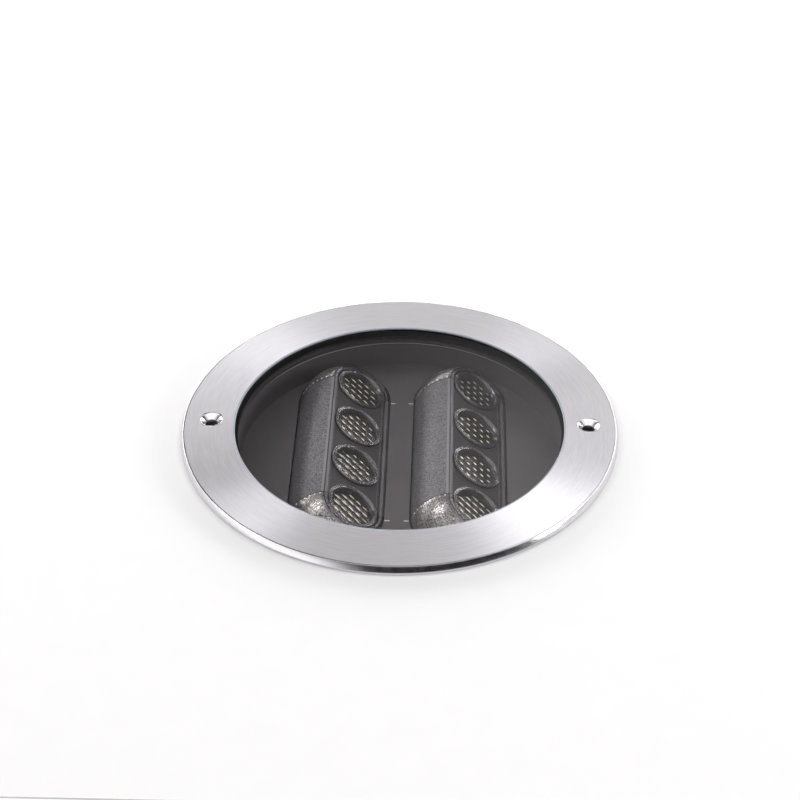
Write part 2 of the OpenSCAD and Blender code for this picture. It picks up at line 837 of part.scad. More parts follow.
// Three pole terminal block with wire holes through and clamp wells below
module terminal_block() {
    color([0.90, 0.89, 0.84])
        difference() {
            translate([-block_l / 2, block_y - block_w / 2, tray_bottom - block_h])
                cube([block_l, block_w, block_h]);
            for (i = [0 : pole_count - 1])
                translate([(i - (pole_count - 1) / 2) * pole_pitch, 0, tray_bottom - wire_drop])
                    rod(wire_hole_r, block_y - block_w / 2 - over, block_y + block_w / 2 + over);
            each_clamp()
                post(clamp_r + fit, tray_bottom - wire_drop, tray_bottom - block_h - over);
            translate([pole_pitch / 2, block_y, 0])
                post(block_screw_r, tray_bottom + over, tray_bottom - block_h - over);
        }
}

// Clamp screws of the terminal block, biting on the wires
module terminal_screws() {
    color([0.80, 0.66, 0.34])
        each_clamp()
            difference() {
                post(clamp_r, tray_bottom - wire_drop - wire_r, tray_bottom - block_h + clamp_depth);
                translate([-clamp_r - over, -clamp_slot / 2, tray_bottom - block_h + clamp_depth - over])
                    cube([2 * clamp_r + 2 * over, clamp_slot, over + clamp_slot]);
            }
}

// Three short leads from the terminal block into the driver
module driver_leads() {
    color([0.30, 0.32, 0.55])
        for (i = [0 : pole_count - 1])
            translate([(i - (pole_count - 1) / 2) * pole_pitch, 0, tray_bottom - wire_drop])
                rod(wire_r, block_y - block_w / 4, driver_y - driver_w / 2);
}

// Hexagonal prism between two heights
module hexagon(corner_r, z_top, z_low) {
    translate([0, 0, z_low]) rotate([0, 0, 30]) cylinder(r = corner_r, h = z_top - z_low, $fn = 6);
}

// Gland body: thread through the shoulder, hexagon below, thread for the dome nut
module gland_body() {
    hex_top = shoulder_bottom - washer_t;
    hex_low = hex_top - gland_hex_t;
    color(black_rubber)
        translate([-entry_x, 0, 0])
            difference() {
                union() {
                    post(gland_r, tray_bottom + gland_nut_t + 1.5, hex_top - 1);
                    hexagon(gland_hex_r, hex_top, hex_low);
                    post(gland_r, hex_low + 1, hex_low - gland_tail);
                }
                post(gland_bore_r - 1, tray_bottom + 2 * gland_nut_t, hex_low - gland_tail - over);
                post(gland_bore_r, hex_low - gland_tail + insert_t, hex_low - gland_tail - over);
            }
}

// Sealing washer of the gland
module gland_washer() {
    color([0.12, 0.12, 0.12])
        translate([-entry_x, 0, 0])
            ring(washer_r, gland_r + fit, shoulder_bottom, shoulder_bottom - washer_t);
}

// Lock nut of the gland, on the shoulder inside the housing
module gland_lock_nut() {
    color(zinc)
        translate([-entry_x, 0, 0])
            difference() {
                hexagon(gland_hex_r, tray_bottom + gland_nut_t, tray_bottom);
                post(gland_r + run_fit, tray_bottom + gland_nut_t + over, tray_bottom - over);
            }
}

// Rubber insert that grips the cable
module gland_insert() {
    low = shoulder_bottom - washer_t - gland_hex_t - gland_tail;
    color([0.12, 0.12, 0.12])
        translate([-entry_x, 0, 0])
            ring(gland_bore_r - run_fit, cable_d / 2, low + insert_t - run_fit, low);
}

// Dome nut that squeezes the insert, open for the cable at its lower end
module gland_dome_nut() {
    hex_low = shoulder_bottom - washer_t - gland_hex_t;
    top = hex_low - 0.8;
    low = hex_low - gland_tail - dome_t;
    entry_r = cable_d / 2 + 0.4;
    color(black_rubber)
        translate([-entry_x, 0, 0])
            difference() {
                union() {
                    hexagon(gland_hex_r - 0.9, top, top - gland_tail / 2);
                    rotate_extrude()
                        polygon([[0, top], [dome_r, top], [dome_r, low + 2], [dome_r - 3, low], [0, low]]);
                }
                post(gland_r + fit, top + over, hex_low - gland_tail);
                post(entry_r, top + over, low - over);
            }
}

// Pressure vent screwed through the shoulder from below
module vent_body() {
    color(black_rubber)
        translate([entry_x, 0, 0])
            difference() {
                union() {
                    post(vent_r, tray_bottom + vent_nut_t + 1, shoulder_bottom - 1);
                    hexagon(vent_hex_r, shoulder_bottom, shoulder_bottom - vent_hex_t);
                    post(vent_hex_r - 2, shoulder_bottom - 1, shoulder_bottom - vent_hex_t - 1.5);
                }
                post(2, tray_top + 2 * over, shoulder_bottom - vent_hex_t);
                for (a = [0, 60, 120])
                    rotate([0, 0, a])
                        translate([-vent_hex_r, -vent_slot / 2, shoulder_bottom - vent_hex_t - 1.5 - over])
                            cube([2 * vent_hex_r, vent_slot, 1.2 + over]);
            }
}

// Nut of the pressure vent
module vent_nut() {
    color(zinc)
        translate([entry_x, 0, 0])
            difference() {
                hexagon(vent_hex_r, tray_bottom + vent_nut_t, tray_bottom);
                post(vent_r + run_fit, tray_bottom + vent_nut_t + over, tray_bottom - over);
            }
}

// Round seal in the groove under the driver chamber
module bottom_seal() {
    color(black_rubber)
        ring(bottom_seal_in_r + bottom_seal_w - seal_squeeze, bottom_seal_in_r + seal_squeeze,
            chamber_bottom + bottom_seal_t, chamber_bottom);
}

// Bottom cover with a raised rim and sunk screw holes
module bottom_cover() {
    color(dark_paint)
        difference() {
            post(foot_flange_r, chamber_bottom, base_z);
            post(foot_flange_r - base_rim, base_z + base_recess, base_z - over);
            round_about(4, foot_screw_orbit, 45) translate([0, 0, base_z]) sunk_hole(cover_t);
        }
}

// Countersunk screws of the bottom cover
module bottom_screws() {
    color(zinc)
        round_about(4, foot_screw_orbit, 45)
            translate([0, 0, base_z]) sunk_screw(cover_t + foot_screw_reach);
}

// Everything that is cut from the pod's skin on its flat side
module pod_face_cut() {
    translate([-pod_r, -pole_y, flat_height]) cube([pod_d, 2 * pole_y, pod_r]);
    stadium(pocket_hw, cap_y, flat_height + over, plate_bottom);
    stadium(channel_hw, cap_y, plate_bottom + over, board_bottom);
}

// Places of the two cap screws, seen from the pod's axis
module each_port() {
    for (s = [-1, 1]) orbit_at(port_orbit, s * port_at) children();
}

// Extruded barrel: flat side, web for the LED board, wiring space and two screw ports
module barrel() {
    lead_cut = 2 * (pod_wall + grommet_gap);
    color(pod_paint)
        difference() {
            rod(pod_r, -seam_y, seam_y);
            pod_face_cut();
            difference() {
                intersection() {
                    rod(pod_in_r, -seam_y - over, seam_y + over);
                    translate([-pod_r, -pole_y, web_bottom - pod_d]) cube([pod_d, 2 * pole_y, pod_d]);
                }
                each_port() rod(port_r, -pole_y, pole_y);
            }
            each_port() rod(cap_screw_r + run_fit, -seam_y - over, seam_y + over);
            translate([0, lead_y, -pod_r]) cylinder(r = grommet_r, h = lead_cut, center = true);
        }
}

// Cast cap with a round end, at the +Y end of the barrel
module cap_blank(lock_side) {
    difference() {
        union() {
            intersection() {
                union() {
                    translate([0, cap_y, 0]) sphere(r = pod_r);
                    rod(pod_r, seam_y, cap_y);
                }
                translate([-pod_r, seam_y, -pod_r]) cube([pod_d, pole_y, pod_d]);
            }
            rod(pad_r, cap_y + pod_r / 2, pole_y);
            if (lock_side != 0)
                orbit_at(lock_orbit, lock_side * lock_at)
                    rod(lock_boss_r, cap_y + pod_r / 2, bracket_y - air);
        }
        pod_face_cut();
        difference() {
            intersection() {
                union() {
                    translate([0, cap_y, 0]) sphere(r = pod_in_r);
                    rod(pod_in_r, seam_y - over, cap_y);
                }
                translate([-pod_r, seam_y - over, web_bottom - pod_d]) cube([pod_d, pole_y, pod_d]);
            }
            each_port() rod(port_r, seam_y - over, pole_y);
            rod(pivot_boss_r, pole_y - pin_depth - 2, pole_y);
            if (lock_side != 0)
                orbit_at(lock_orbit, lock_side * lock_at)
                    rod(lock_boss_r, cap_y + pod_r / 2, pole_y);
        }
        rod(pin_r + run_fit, pole_y - pin_depth, pole_y + over);
        each_port() {
            rod(cap_screw_r + fit, seam_y - over, pole_y);
            rod(cap_screw_head_r + fit, seam_y + cap_screw_seat, pole_y);
        }
        if (lock_side != 0)
            orbit_at(lock_orbit, lock_side * lock_at)
                rod(lock_r + run_fit, bracket_y - air - lock_depth - 1, bracket_y + over);
    }
}

// Front cap, which also holds the lock screw
module front_cap(lock_side) {
    color(pod_paint) mirror([0, 1, 0]) cap_blank(lock_side);
}

// Rear cap
module rear_cap() {
    color(pod_paint) cap_blank(0);
}

// Two screws in each cap, into the barrel's screw ports
module cap_screws() {
    seat_y = seam_y + cap_screw_seat;
    color(zinc)
        for (s = [0, 1])
            mirror([0, s, 0])
                each_port() {
                    rod(cap_screw_r, seam_y - cap_screw_reach, seat_y + cap_screw_head_t / 2);
                    rod(cap_screw_head_r, seat_y, seat_y + cap_screw_head_t);
                }
}

// Children at each lens of the pod
module each_lens() {
    for (i = [0 : lens_count - 1])
        translate([0, (i - (lens_count - 1) / 2) * lens_pitch, 0]) children();
}

// Lens plate with half-round ends, one hole per lens and small notches for lifting it out
module lens_plate() {
    color([0.25, 0.25, 0.26])
        difference() {
            stadium(plate_hw, cap_y, plate_top, plate_bottom);
            each_lens() post(bezel_hole_r, plate_top + over, plate_bottom - over);
            for (x = [-1, 1], y = [-1, 1])
                translate([x * plate_hw, y * lens_pitch, 0])
                    post(notch_r, plate_top + over, plate_bottom - over);
        }
}

// Double ring round each lens, with a sleeve through the plate
module bezels() {
    base_h = bezel_h - bezel_tube;
    color([0.16, 0.16, 0.17])
        each_lens()
            rotate_extrude() {
                translate([bezel_r - bezel_tube, plate_top + base_h]) circle(r = bezel_tube);
                translate([bezel_in_r + bezel_tube, plate_top + base_h]) circle(r = bezel_tube);
                translate([bezel_in_r, plate_top])
                    square([bezel_w - bezel_tube / 4, base_h]);
                translate([bezel_in_r, plate_bottom]) square([bezel_sleeve, plate_t + base_h]);
            }
}

// Round lens on a foot ring, its face a honeycomb of 19 small domes
module lenses() {
    dome_r = (cell_r * cell_r + cell_rise * cell_rise) / (2 * cell_rise);
    color([0.45, 0.47, 0.50, 0.7])
        each_lens() {
            rotate_extrude()
                polygon([
                    [0, lens_top], [lens_r, lens_top], [lens_r, board_top + lens_skirt],
                    [lens_foot_r, board_top + lens_skirt], [lens_foot_r, board_top],
                    [lens_foot_r - lens_foot_w, board_top],
                    [lens_foot_r - lens_foot_w, board_top + lens_skirt / 2],
                    [led_w, board_top + lens_skirt], [0, board_top + lens_skirt + 1]]);
            for (i = [-cell_rings : cell_rings], j = [-cell_rings : cell_rings])
                if (abs(i + j) <= cell_rings)
                    translate([cell_pitch * j * sqrt(3) / 2, cell_pitch * (i + j / 2), lens_top])
                        intersection() {
                            translate([0, 0, cell_rise - dome_r]) sphere(r = dome_r, $fn = 32);
                            translate([0, 0, -cell_rise]) cylinder(r = cell_r, h = 3 * cell_rise, $fn = 32);
                        }
        }
}

// LED board, on the web of the barrel and caps
module led_board() {
    color(board_white) stadium(board_w / 2, cap_y, board_top, board_bottom);
}

// One LED under each lens: a square base with a dome
module leds() {
    color([0.95, 0.88, 0.55])
        each_lens() {
            translate([-led_w / 2, -led_w / 2, board_top]) cube([led_w, led_w, led_t]);
            intersection() {
                translate([0, 0, board_top + led_t / 2]) sphere(r = led_dome_r);
                post(led_dome_r + 1, board_top + 2 * led_dome_r, board_top + led_t / 2);
            }
        }
}

// Pivot pins fixed in the caps, with heads outside the brackets
module pivot_pins() {
    color(zinc)
        for (s = [0, 1])
            mirror([0, s, 0]) {
                rod(pin_r, pole_y - pin_depth, pin_head_y + pin_head_t / 2);
                rod(pin_head_r, pin_head_y, pin_head_y + pin_head_t);
            }
}

// Lock screw through the front bracket's arc slot into the front cap
module lock_screw(lock_side) {
    color(zinc)
        mirror([0, 1, 0])
            orbit_at(lock_orbit, lock_side * lock_at) {
                rod(lock_r, bracket_y - air - lock_depth, pin_head_y + lock_head_t / 2);
                rod(lock_head_r, pin_head_y, pin_head_y + lock_head_t);
            }
}

// Grommet where the pod's lead leaves the barrel
module lead_grommet() {
    translate([0, lead_y, -pod_r + pod_wall / 2])
        grommet(grommet_r, lead_r, pod_wall / 2 + grommet_gap, grommet_rim, grommet_rim_t);
}

trim_ring();
trim_screws();
glass_tape();
cover_glass();
glass_seal();
frame_ring();
frame_gasket();
frame_screws();
baffle_cup();
housing();
box_gasket();
driver_box();
box_screws();
cooling_fins();
gear_tray();
tray_screws();
tray_grommets();
earth_screw();
front_bracket();
rear_bracket();
bracket_screws();
pivot_bushes();
driver_case();
driver_screws();
terminal_block();
terminal_screws();
driver_leads();
gland_body();
gland_washer();
gland_lock_nut();
gland_insert();
gland_dome_nut();
vent_body();
vent_nut();
bottom_seal();
bottom_cover();
bottom_screws();
pod_at(left_x) barrel();  // left_barrel
pod_at(left_x) front_cap(1);  // left_front_cap
pod_at(left_x) rear_cap();  // left_rear_cap
pod_at(left_x) cap_screws();  // left_cap_screws
pod_at(left_x) lens_plate();  // left_lens_plate
pod_at(left_x) bezels();  // left_bezels
pod_at(left_x) lenses();  // left_lenses
pod_at(left_x) led_board();  // left_led_board
pod_at(left_x) leds();  // left_leds
pod_at(left_x) pivot_pins();  // left_pivot_pins
pod_at(left_x) lock_screw(1);  // left_lock_screw
pod_at(left_x) lead_grommet();  // left_lead_grommet
pod_at(right_x) barrel();  // right_barrel
pod_at(right_x) front_cap(-1);  // right_front_cap
pod_at(right_x) rear_cap();  // right_rear_cap
pod_at(right_x) cap_screws();  // right_cap_screws
pod_at(right_x) lens_plate();  // right_lens_plate
pod_at(right_x) bezels();  // right_bezels
pod_at(right_x) lenses();  // right_lenses
pod_at(right_x) led_board();  // right_led_board
pod_at(right_x) leds();  // right_leds
pod_at(right_x) pivot_pins();  // right_pivot_pins
pod_at(right_x) lock_screw(-1);  // right_lock_screw
pod_at(right_x) lead_grommet();  // right_lead_grommet
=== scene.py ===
"""Looks of an in ground well light: two tilting light pods in a dark painted cup,
under one round glass that a circular brushed steel trim holds."""

import bmesh
import bpy
import numpy as np
from mathutils import Matrix, Vector


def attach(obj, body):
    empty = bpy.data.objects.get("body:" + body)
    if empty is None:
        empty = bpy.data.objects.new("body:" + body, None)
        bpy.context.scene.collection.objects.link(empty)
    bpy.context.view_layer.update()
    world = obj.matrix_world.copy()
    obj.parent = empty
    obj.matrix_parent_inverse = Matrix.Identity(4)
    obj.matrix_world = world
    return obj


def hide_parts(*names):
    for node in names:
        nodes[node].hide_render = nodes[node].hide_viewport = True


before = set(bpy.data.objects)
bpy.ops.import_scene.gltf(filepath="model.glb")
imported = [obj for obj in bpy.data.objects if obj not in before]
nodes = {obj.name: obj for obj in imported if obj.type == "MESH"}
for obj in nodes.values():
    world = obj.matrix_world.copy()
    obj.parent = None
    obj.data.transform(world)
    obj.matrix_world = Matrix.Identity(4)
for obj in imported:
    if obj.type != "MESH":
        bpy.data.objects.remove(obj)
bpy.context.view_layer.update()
scene = bpy.context.scene

# Camera
# A short telephoto stands in front of the light and looks down on it, nearly two degrees out
# of square, as in the photograph. All directions are in the light's own frame.
camera_data = bpy.data.cameras.new("photo_camera")
camera_data.lens = 85.5
camera_data.sensor_width = 36
camera_data.clip_start = 0.05
camera = bpy.data.objects.new("photo_camera", camera_data)
scene.collection.objects.link(camera)
camera_roll = -0.0035
camera_look = Vector((-0.02514, 0.79998, -0.59948)).normalized()
camera_level = camera_look.cross(Vector((0, 0, 1))).normalized()
camera_up = camera_level.cross(camera_look)
camera_right = camera_level * np.cos(camera_roll) + camera_up * np.sin(camera_roll)
camera_top = camera_up * np.cos(camera_roll) - camera_level * np.sin(camera_roll)
camera.matrix_world = (
    Matrix.Translation((0.02304, -0.72354, 0.55947))
    @ Matrix((camera_right, camera_top, -camera_look)).transposed().to_4x4()
)
scene.camera = camera
scene.view_settings.view_transform = "Standard"


# Studio light
# A white wall low behind, two softboxes and a strip on the right draw the wedges on the brushed
# ring and its soft shadow. Above the wall it is dark, which keeps the glass clear. A softbox
# under the floor's level lights the body that hangs below it.
def hex_linear(code):
    """Linear RGBA of an sRGB hex colour: a part below 0.04045 is divided by 12.92, a larger
    one goes through ((part + 0.055) / 1.055) to the power 2.4."""
    part = np.array([int(code[i:i + 2], 16) for i in (0, 2, 4)]) / 255
    linear = np.where(part <= 0.04045, part / 12.92, ((part + 0.055) / 1.055) ** 2.4)
    return (*linear.tolist(), 1.0)


def add_node(finish, kind, sockets=None, **settings):
    """Adds one node to a finish. Each socket, by name or number, gets a value or the output
    of another node."""
    tree = finish.node_tree
    made = tree.nodes.new(kind)
    for key, value in settings.items():
        setattr(made, key, value)
    for key, value in (sockets or {}).items():
        if isinstance(value, bpy.types.NodeSocket):
            tree.links.new(value, made.inputs[key])
        else:
            made.inputs[key].default_value = value
    return made


world = bpy.data.worlds.new("studio_room")
world.use_nodes = True
world.node_tree.nodes.clear()
scene.world = world
room_way = add_node(world, "ShaderNodeTexCoord")
room_axes = add_node(world, "ShaderNodeSeparateXYZ", {0: room_way.outputs["Generated"]})
# The wall: full behind and faint on the left, from the floor up to 13 degrees, gone at 22
wall_back = add_node(world, "ShaderNodeMapRange", {
    "Value": room_axes.outputs["Y"], "From Min": 0.2, "From Max": 0.7,
    "To Min": 0.0, "To Max": 10.3}, interpolation_type="SMOOTHSTEP")
wall_left = add_node(world, "ShaderNodeMapRange", {
    "Value": room_axes.outputs["X"], "From Min": -0.2, "From Max": -0.7,
    "To Min": 0.0, "To Max": 1.5}, interpolation_type="SMOOTHSTEP")
wall_both = add_node(world, "ShaderNodeMath", {
    0: wall_back.outputs[0], 1: wall_left.outputs[0]}, operation="ADD")
wall_low = add_node(world, "ShaderNodeMapRange", {
    "Value": room_axes.outputs["Z"], "From Min": 0.22, "From Max": 0.38,
    "To Min": 1.0, "To Max": 0.0}, interpolation_type="SMOOTHSTEP")
wall = add_node(world, "ShaderNodeMath", {
    0: wall_both.outputs[0], 1: wall_low.outputs[0]}, operation="MULTIPLY")
# The room high in front, which lights the cup's back wall and leaves the front bevel dark
front_way = add_node(world, "ShaderNodeMapRange", {
    "Value": room_axes.outputs["Y"], "From Min": 0.3, "From Max": -0.4,
    "To Min": 0.0, "To Max": 1.5}, interpolation_type="SMOOTHSTEP")
front_high = add_node(world, "ShaderNodeMapRange", {
    "Value": room_axes.outputs["Z"], "From Min": 0.35, "From Max": 0.65},
    interpolation_type="SMOOTHSTEP")
front = add_node(world, "ShaderNodeMath", {
    0: front_way.outputs[0], 1: front_high.outputs[0]}, operation="MULTIPLY")
# A soft gleam high behind on the right, mirrored in the right half of the glass
gleam_way = add_node(world, "ShaderNodeVectorMath", {
    0: room_way.outputs["Generated"], 1: (0.2202, 0.7407, 0.6356)}, operation="DISTANCE")
gleam = add_node(world, "ShaderNodeMapRange", {
    "Value": gleam_way.outputs["Value"], "From Min": 0.0, "From Max": 0.38,
    "To Min": 0.8, "To Max": 0.0}, interpolation_type="SMOOTHSTEP")
room_sum = add_node(world, "ShaderNodeMath", {
    0: wall.outputs[0], 1: front.outputs[0]}, operation="ADD")
room_tone = add_node(world, "ShaderNodeMath", {
    0: room_sum.outputs[0], 1: gleam.outputs[0]}, operation="ADD")
room_light = add_node(world, "ShaderNodeBackground", {
    "Color": hex_linear("FFFDFD"), "Strength": room_tone.outputs[0]})
room_white = add_node(world, "ShaderNodeBackground", {"Color": (1, 1, 1, 1), "Strength": 1.05})
# The camera itself sees plain white all round
room_path = add_node(world, "ShaderNodeLightPath")
room_mix = add_node(world, "ShaderNodeMixShader", {
    0: room_path.outputs["Is Camera Ray"], 1: room_light.outputs[0], 2: room_white.outputs[0]})
add_node(world, "ShaderNodeOutputWorld", {"Surface": room_mix.outputs[0]})

for name, place, width, height, power in (
    ("softbox_right", (0.627, 0.597, 1.225), 0.6, 0.6, 6.1),
    ("softbox_left", (-0.929, 0.300, 1.139), 0.6, 0.6, 7.1),
    ("strip_right", (1.559, -0.161, 0.321), 0.9, 0.25, 12.9),
    ("softbox_under", (0.2, -1.4, -0.55), 1.2, 0.5, 6.0),
):
    lamp = bpy.data.lights.new(name, "AREA")
    lamp.shape = "RECTANGLE"
    lamp.size, lamp.size_y, lamp.energy = width, height, power
    softbox = bpy.data.objects.new(name, lamp)
    scene.collection.objects.link(softbox)
    softbox.location = place
    softbox.rotation_euler = (-Vector(place)).to_track_quat("-Z", "Y").to_euler()


# Floor
# A thin white sheet that the trim lies on, with a round hole for the body of the light,
# because such a light is let into the ground. It is a stage, not part of the object.
def new_finish(name):
    """An empty procedural finish."""
    finish = bpy.data.materials.new(name)
    finish.use_nodes = True
    finish.node_tree.nodes.clear()
    return finish


def grid_quads(rows, columns, wrap_rows=False, wrap_columns=False):
    """Quads between neighbours of a grid whose point (i, j) has the number i * columns + j.
    A wrapped side joins its last line to its first."""
    i, j = np.meshgrid(
        np.arange(rows - (not wrap_rows)), np.arange(columns - (not wrap_columns)), indexing="ij")
    k, m = (i + 1) % rows, (j + 1) % columns
    return np.stack(
        [i * columns + j, k * columns + j, k * columns + m, i * columns + m], -1).reshape(-1, 4)


def closed_object(name, points, faces, finishes, face_finish=None, crease=35.0, marks=None):
    """Object of points in millimetres and faces that close on themselves. Points that meet are
    merged, faces turned outward, and edges sharper than the crease angle kept sharp. Marks are
    named values, one for each point, that a finish may read."""
    mesh = bpy.data.meshes.new(name)
    mesh.from_pydata((np.reshape(points, (-1, 3)) * 0.001).tolist(), [], np.asarray(faces).tolist())
    for finish in finishes:
        mesh.materials.append(finish)
    if face_finish is not None:
        mesh.polygons.foreach_set("material_index", np.asarray(face_finish, np.int32))
    for mark, values in (marks or {}).items():
        mesh.attributes.new(mark, "FLOAT", "POINT").data.foreach_set("value", values)
    shell = bmesh.new()
    shell.from_mesh(mesh)
    bmesh.ops.remove_doubles(shell, verts=shell.verts, dist=1e-6)
    bmesh.ops.recalc_face_normals(shell, faces=shell.faces)
    shell.to_mesh(mesh)
    shell.free()
    mesh.shade_smooth()
    mesh.set_sharp_from_angle(angle=np.radians(crease))
    made = bpy.data.objects.new(name, mesh)
    scene.collection.objects.link(made)
    return made


# Matt white board with a very faint mottle, about 14 mm across
floor_white = new_finish("matt_white_board")
floor_grain = add_node(floor_white, "ShaderNodeTexNoise", {"Scale": 40.0, "Detail": 2.0})
floor_tone = add_node(floor_white, "ShaderNodeMix", {
    0: floor_grain.outputs[0], 6: hex_linear("DADADA"), 7: hex_linear("DDDDDD")}, data_type="RGBA")
floor_shader = add_node(floor_white, "ShaderNodeBsdfDiffuse", {"Color": floor_tone.outputs[2]})
add_node(floor_white, "ShaderNodeOutputMaterial", {"Surface": floor_shader.outputs[0]})

floor_hole_r = 99.6
floor_t = 1.0
floor_low_x, floor_high_x, floor_low_y, floor_high_y = -340.0, 225.0, -235.0, 340.0
floor_steps = 360
off_axis = 0.001  # keeps every ray off the axes, where its reach could not be divided
floor_turn = np.linspace(0, 2 * np.pi, floor_steps, endpoint=False) + off_axis
floor_out = np.stack([np.cos(floor_turn), np.sin(floor_turn)], -1)
# Each ray from the hole's centre ends on the nearer of the two edges of the sheet ahead of it
floor_reach = np.minimum(
    np.where(floor_out[:, 0] > 0, floor_high_x, floor_low_x) / floor_out[:, 0],
    np.where(floor_out[:, 1] > 0, floor_high_y, floor_low_y) / floor_out[:, 1])
floor_hole, floor_edge = floor_out * floor_hole_r, floor_out * floor_reach[:, None]
floor_points = np.stack([
    np.column_stack([line, np.full(floor_steps, z)])
    for line, z in (
        (floor_hole, -floor_t), (floor_hole, 0), (floor_edge, 0), (floor_edge, -floor_t))])
floor = closed_object("floor", floor_points, grid_quads(4, floor_steps, True, True), [floor_white])


# Trim ring
# A flat ring cut from 4 mm stainless steel, its face brushed in circles and its edge bevelled on
# the lathe. Two countersunk holes, left and right, take the screws into the ground sleeve.
def rounded_outline(corners, steps=3):
    """Closed outline through corners (u, v, setback): each corner P becomes the parabola
    (1-t)^2 A + 2t(1-t) P + t^2 B, where A and B lie on its two sides at the setback from it."""
    corners = np.array(corners, float)
    point, setback = corners[:, :2], corners[:, 2:]
    before, after = np.roll(point, 1, 0) - point, np.roll(point, -1, 0) - point
    a = point + before / np.linalg.norm(before, axis=1, keepdims=True) * setback
    b = point + after / np.linalg.norm(after, axis=1, keepdims=True) * setback
    t = np.linspace(0, 1, steps + 1)[None, :, None]
    curve = (1 - t) ** 2 * a[:, None] + 2 * t * (1 - t) * point[:, None] + t ** 2 * b[:, None]
    return curve.reshape(-1, 2)


def turned_grid(outline, steps):
    """Outline (r, z) carried round the upright axis: point (i, j) lies at
    (r_j cos a_i, r_j sin a_i, z_j), with the angle a_i going once round in even steps."""
    angle = np.arange(steps)[:, None] * 2 * np.pi / steps
    r, z = outline[:, 0], outline[:, 1]
    return np.stack([r * np.cos(angle), r * np.sin(angle), z + 0 * angle], -1)


opening_r, trim_r, trim_t, lip_low = 79.0, 105.0, 4.0, 3.2
bevel_w, bevel_h = 1.4, 2.8
rabbet_r, register_r, register_z = 85.0, 99.1, 0.4
sleeve_r, sink_r, bore_r = 90.6, 5.15, 2.85
trim_steps, corner_points = 720, 4
block_half, low_block_half, block_cells, turn_half = 6.0, 4.4, 12, 8
lip_gap, bevel_gap, face_cells = 0.4, 0.6, 4
brushed_face, turned_face, cut_face = 0, 1, 2


def straight(start, end, cells):
    """Points evenly along a line, its last point left out."""
    return np.linspace(start, end, cells + 1)[:-1]


# The outline runs up the opening's edge, out over the face, down the bevel and back below.
# Between the marked lines on the face and on the underside the grid gives way to the holes.
trim_lip = rounded_outline([
    (opening_r, lip_low, 0.12), (opening_r, trim_t, 0.3),
    (sleeve_r, trim_t, 0), (sleeve_r, lip_low, 0)])[:2 * corner_points]
trim_face = np.concatenate([
    straight((trim_lip[-1][0] + lip_gap, trim_t), (sleeve_r - block_half, trim_t), face_cells),
    straight((sleeve_r - block_half, trim_t), (sleeve_r + block_half, trim_t), block_cells),
    straight((sleeve_r + block_half, trim_t), (trim_r - bevel_w - bevel_gap, trim_t), face_cells),
    [(trim_r - bevel_w - bevel_gap, trim_t)]])
trim_edge = rounded_outline([
    (trim_r - bevel_w, trim_t, 0.14), (trim_r, trim_t - bevel_h, 0.14), (trim_r, 0, 0.18),
    (sleeve_r, 0, 0), (sleeve_r, trim_t, 0)])[:3 * corner_points]
trim_seat = rounded_outline([
    (register_r, 0, 0.1), (register_r, register_z, 0.02),
    (sleeve_r, register_z, 0), (sleeve_r, 0, 0)])[:2 * corner_points]
trim_under = np.concatenate([
    straight((sleeve_r + low_block_half, register_z), (sleeve_r - low_block_half, register_z),
             block_cells),
    [(sleeve_r - low_block_half, register_z)]])
trim_rabbet = np.array([
    (rabbet_r, register_z), (rabbet_r, lip_low), (opening_r + lip_gap, lip_low)])
trim_outline = np.concatenate([trim_lip, trim_face, trim_edge, trim_seat, trim_under, trim_rabbet])
trim_points = turned_grid(trim_outline, trim_steps)
trim_columns = len(trim_outline)
face_start = len(trim_lip) + face_cells
under_start = len(trim_lip) + len(trim_face) + len(trim_edge) + len(trim_seat)
trim_quads = grid_quads(trim_steps, trim_columns, True, True)
quad_row, quad_column = np.divmod(np.arange(len(trim_quads)), trim_columns)
near_hole = (quad_row + turn_half) % (trim_steps // 2) < 2 * turn_half
in_face = (quad_column >= face_start) & (quad_column < face_start + block_cells)
in_under = (quad_column >= under_start) & (quad_column < under_start + block_cells)
trim_kept = ~(near_hole & (in_face | in_under))
edge_start = len(trim_lip) + len(trim_face) - 1
trim_finish = np.where(
    (quad_column >= edge_start) & (quad_column < edge_start + len(trim_edge) + 1),
    turned_face, brushed_face)
trim_finish[quad_column < len(trim_lip)] = cut_face


def block_rim(first_row, first_column, column_step):
    """Numbers of the grid points round a block: up its rows on the inner line, out along the
    columns, down its rows on the outer line, and back in along the columns."""
    along = np.arange(2 * turn_half)
    across = np.arange(block_cells) * column_step
    rows = np.concatenate([
        first_row + along, np.full(block_cells, first_row + 2 * turn_half),
        first_row + 2 * turn_half - along, np.full(block_cells, first_row)])
    columns = np.concatenate([
        np.full(2 * turn_half, first_column), first_column + across,
        np.full(2 * turn_half, first_column + block_cells * column_step),
        first_column + block_cells * column_step - across])
    return rows % trim_steps * trim_columns + columns


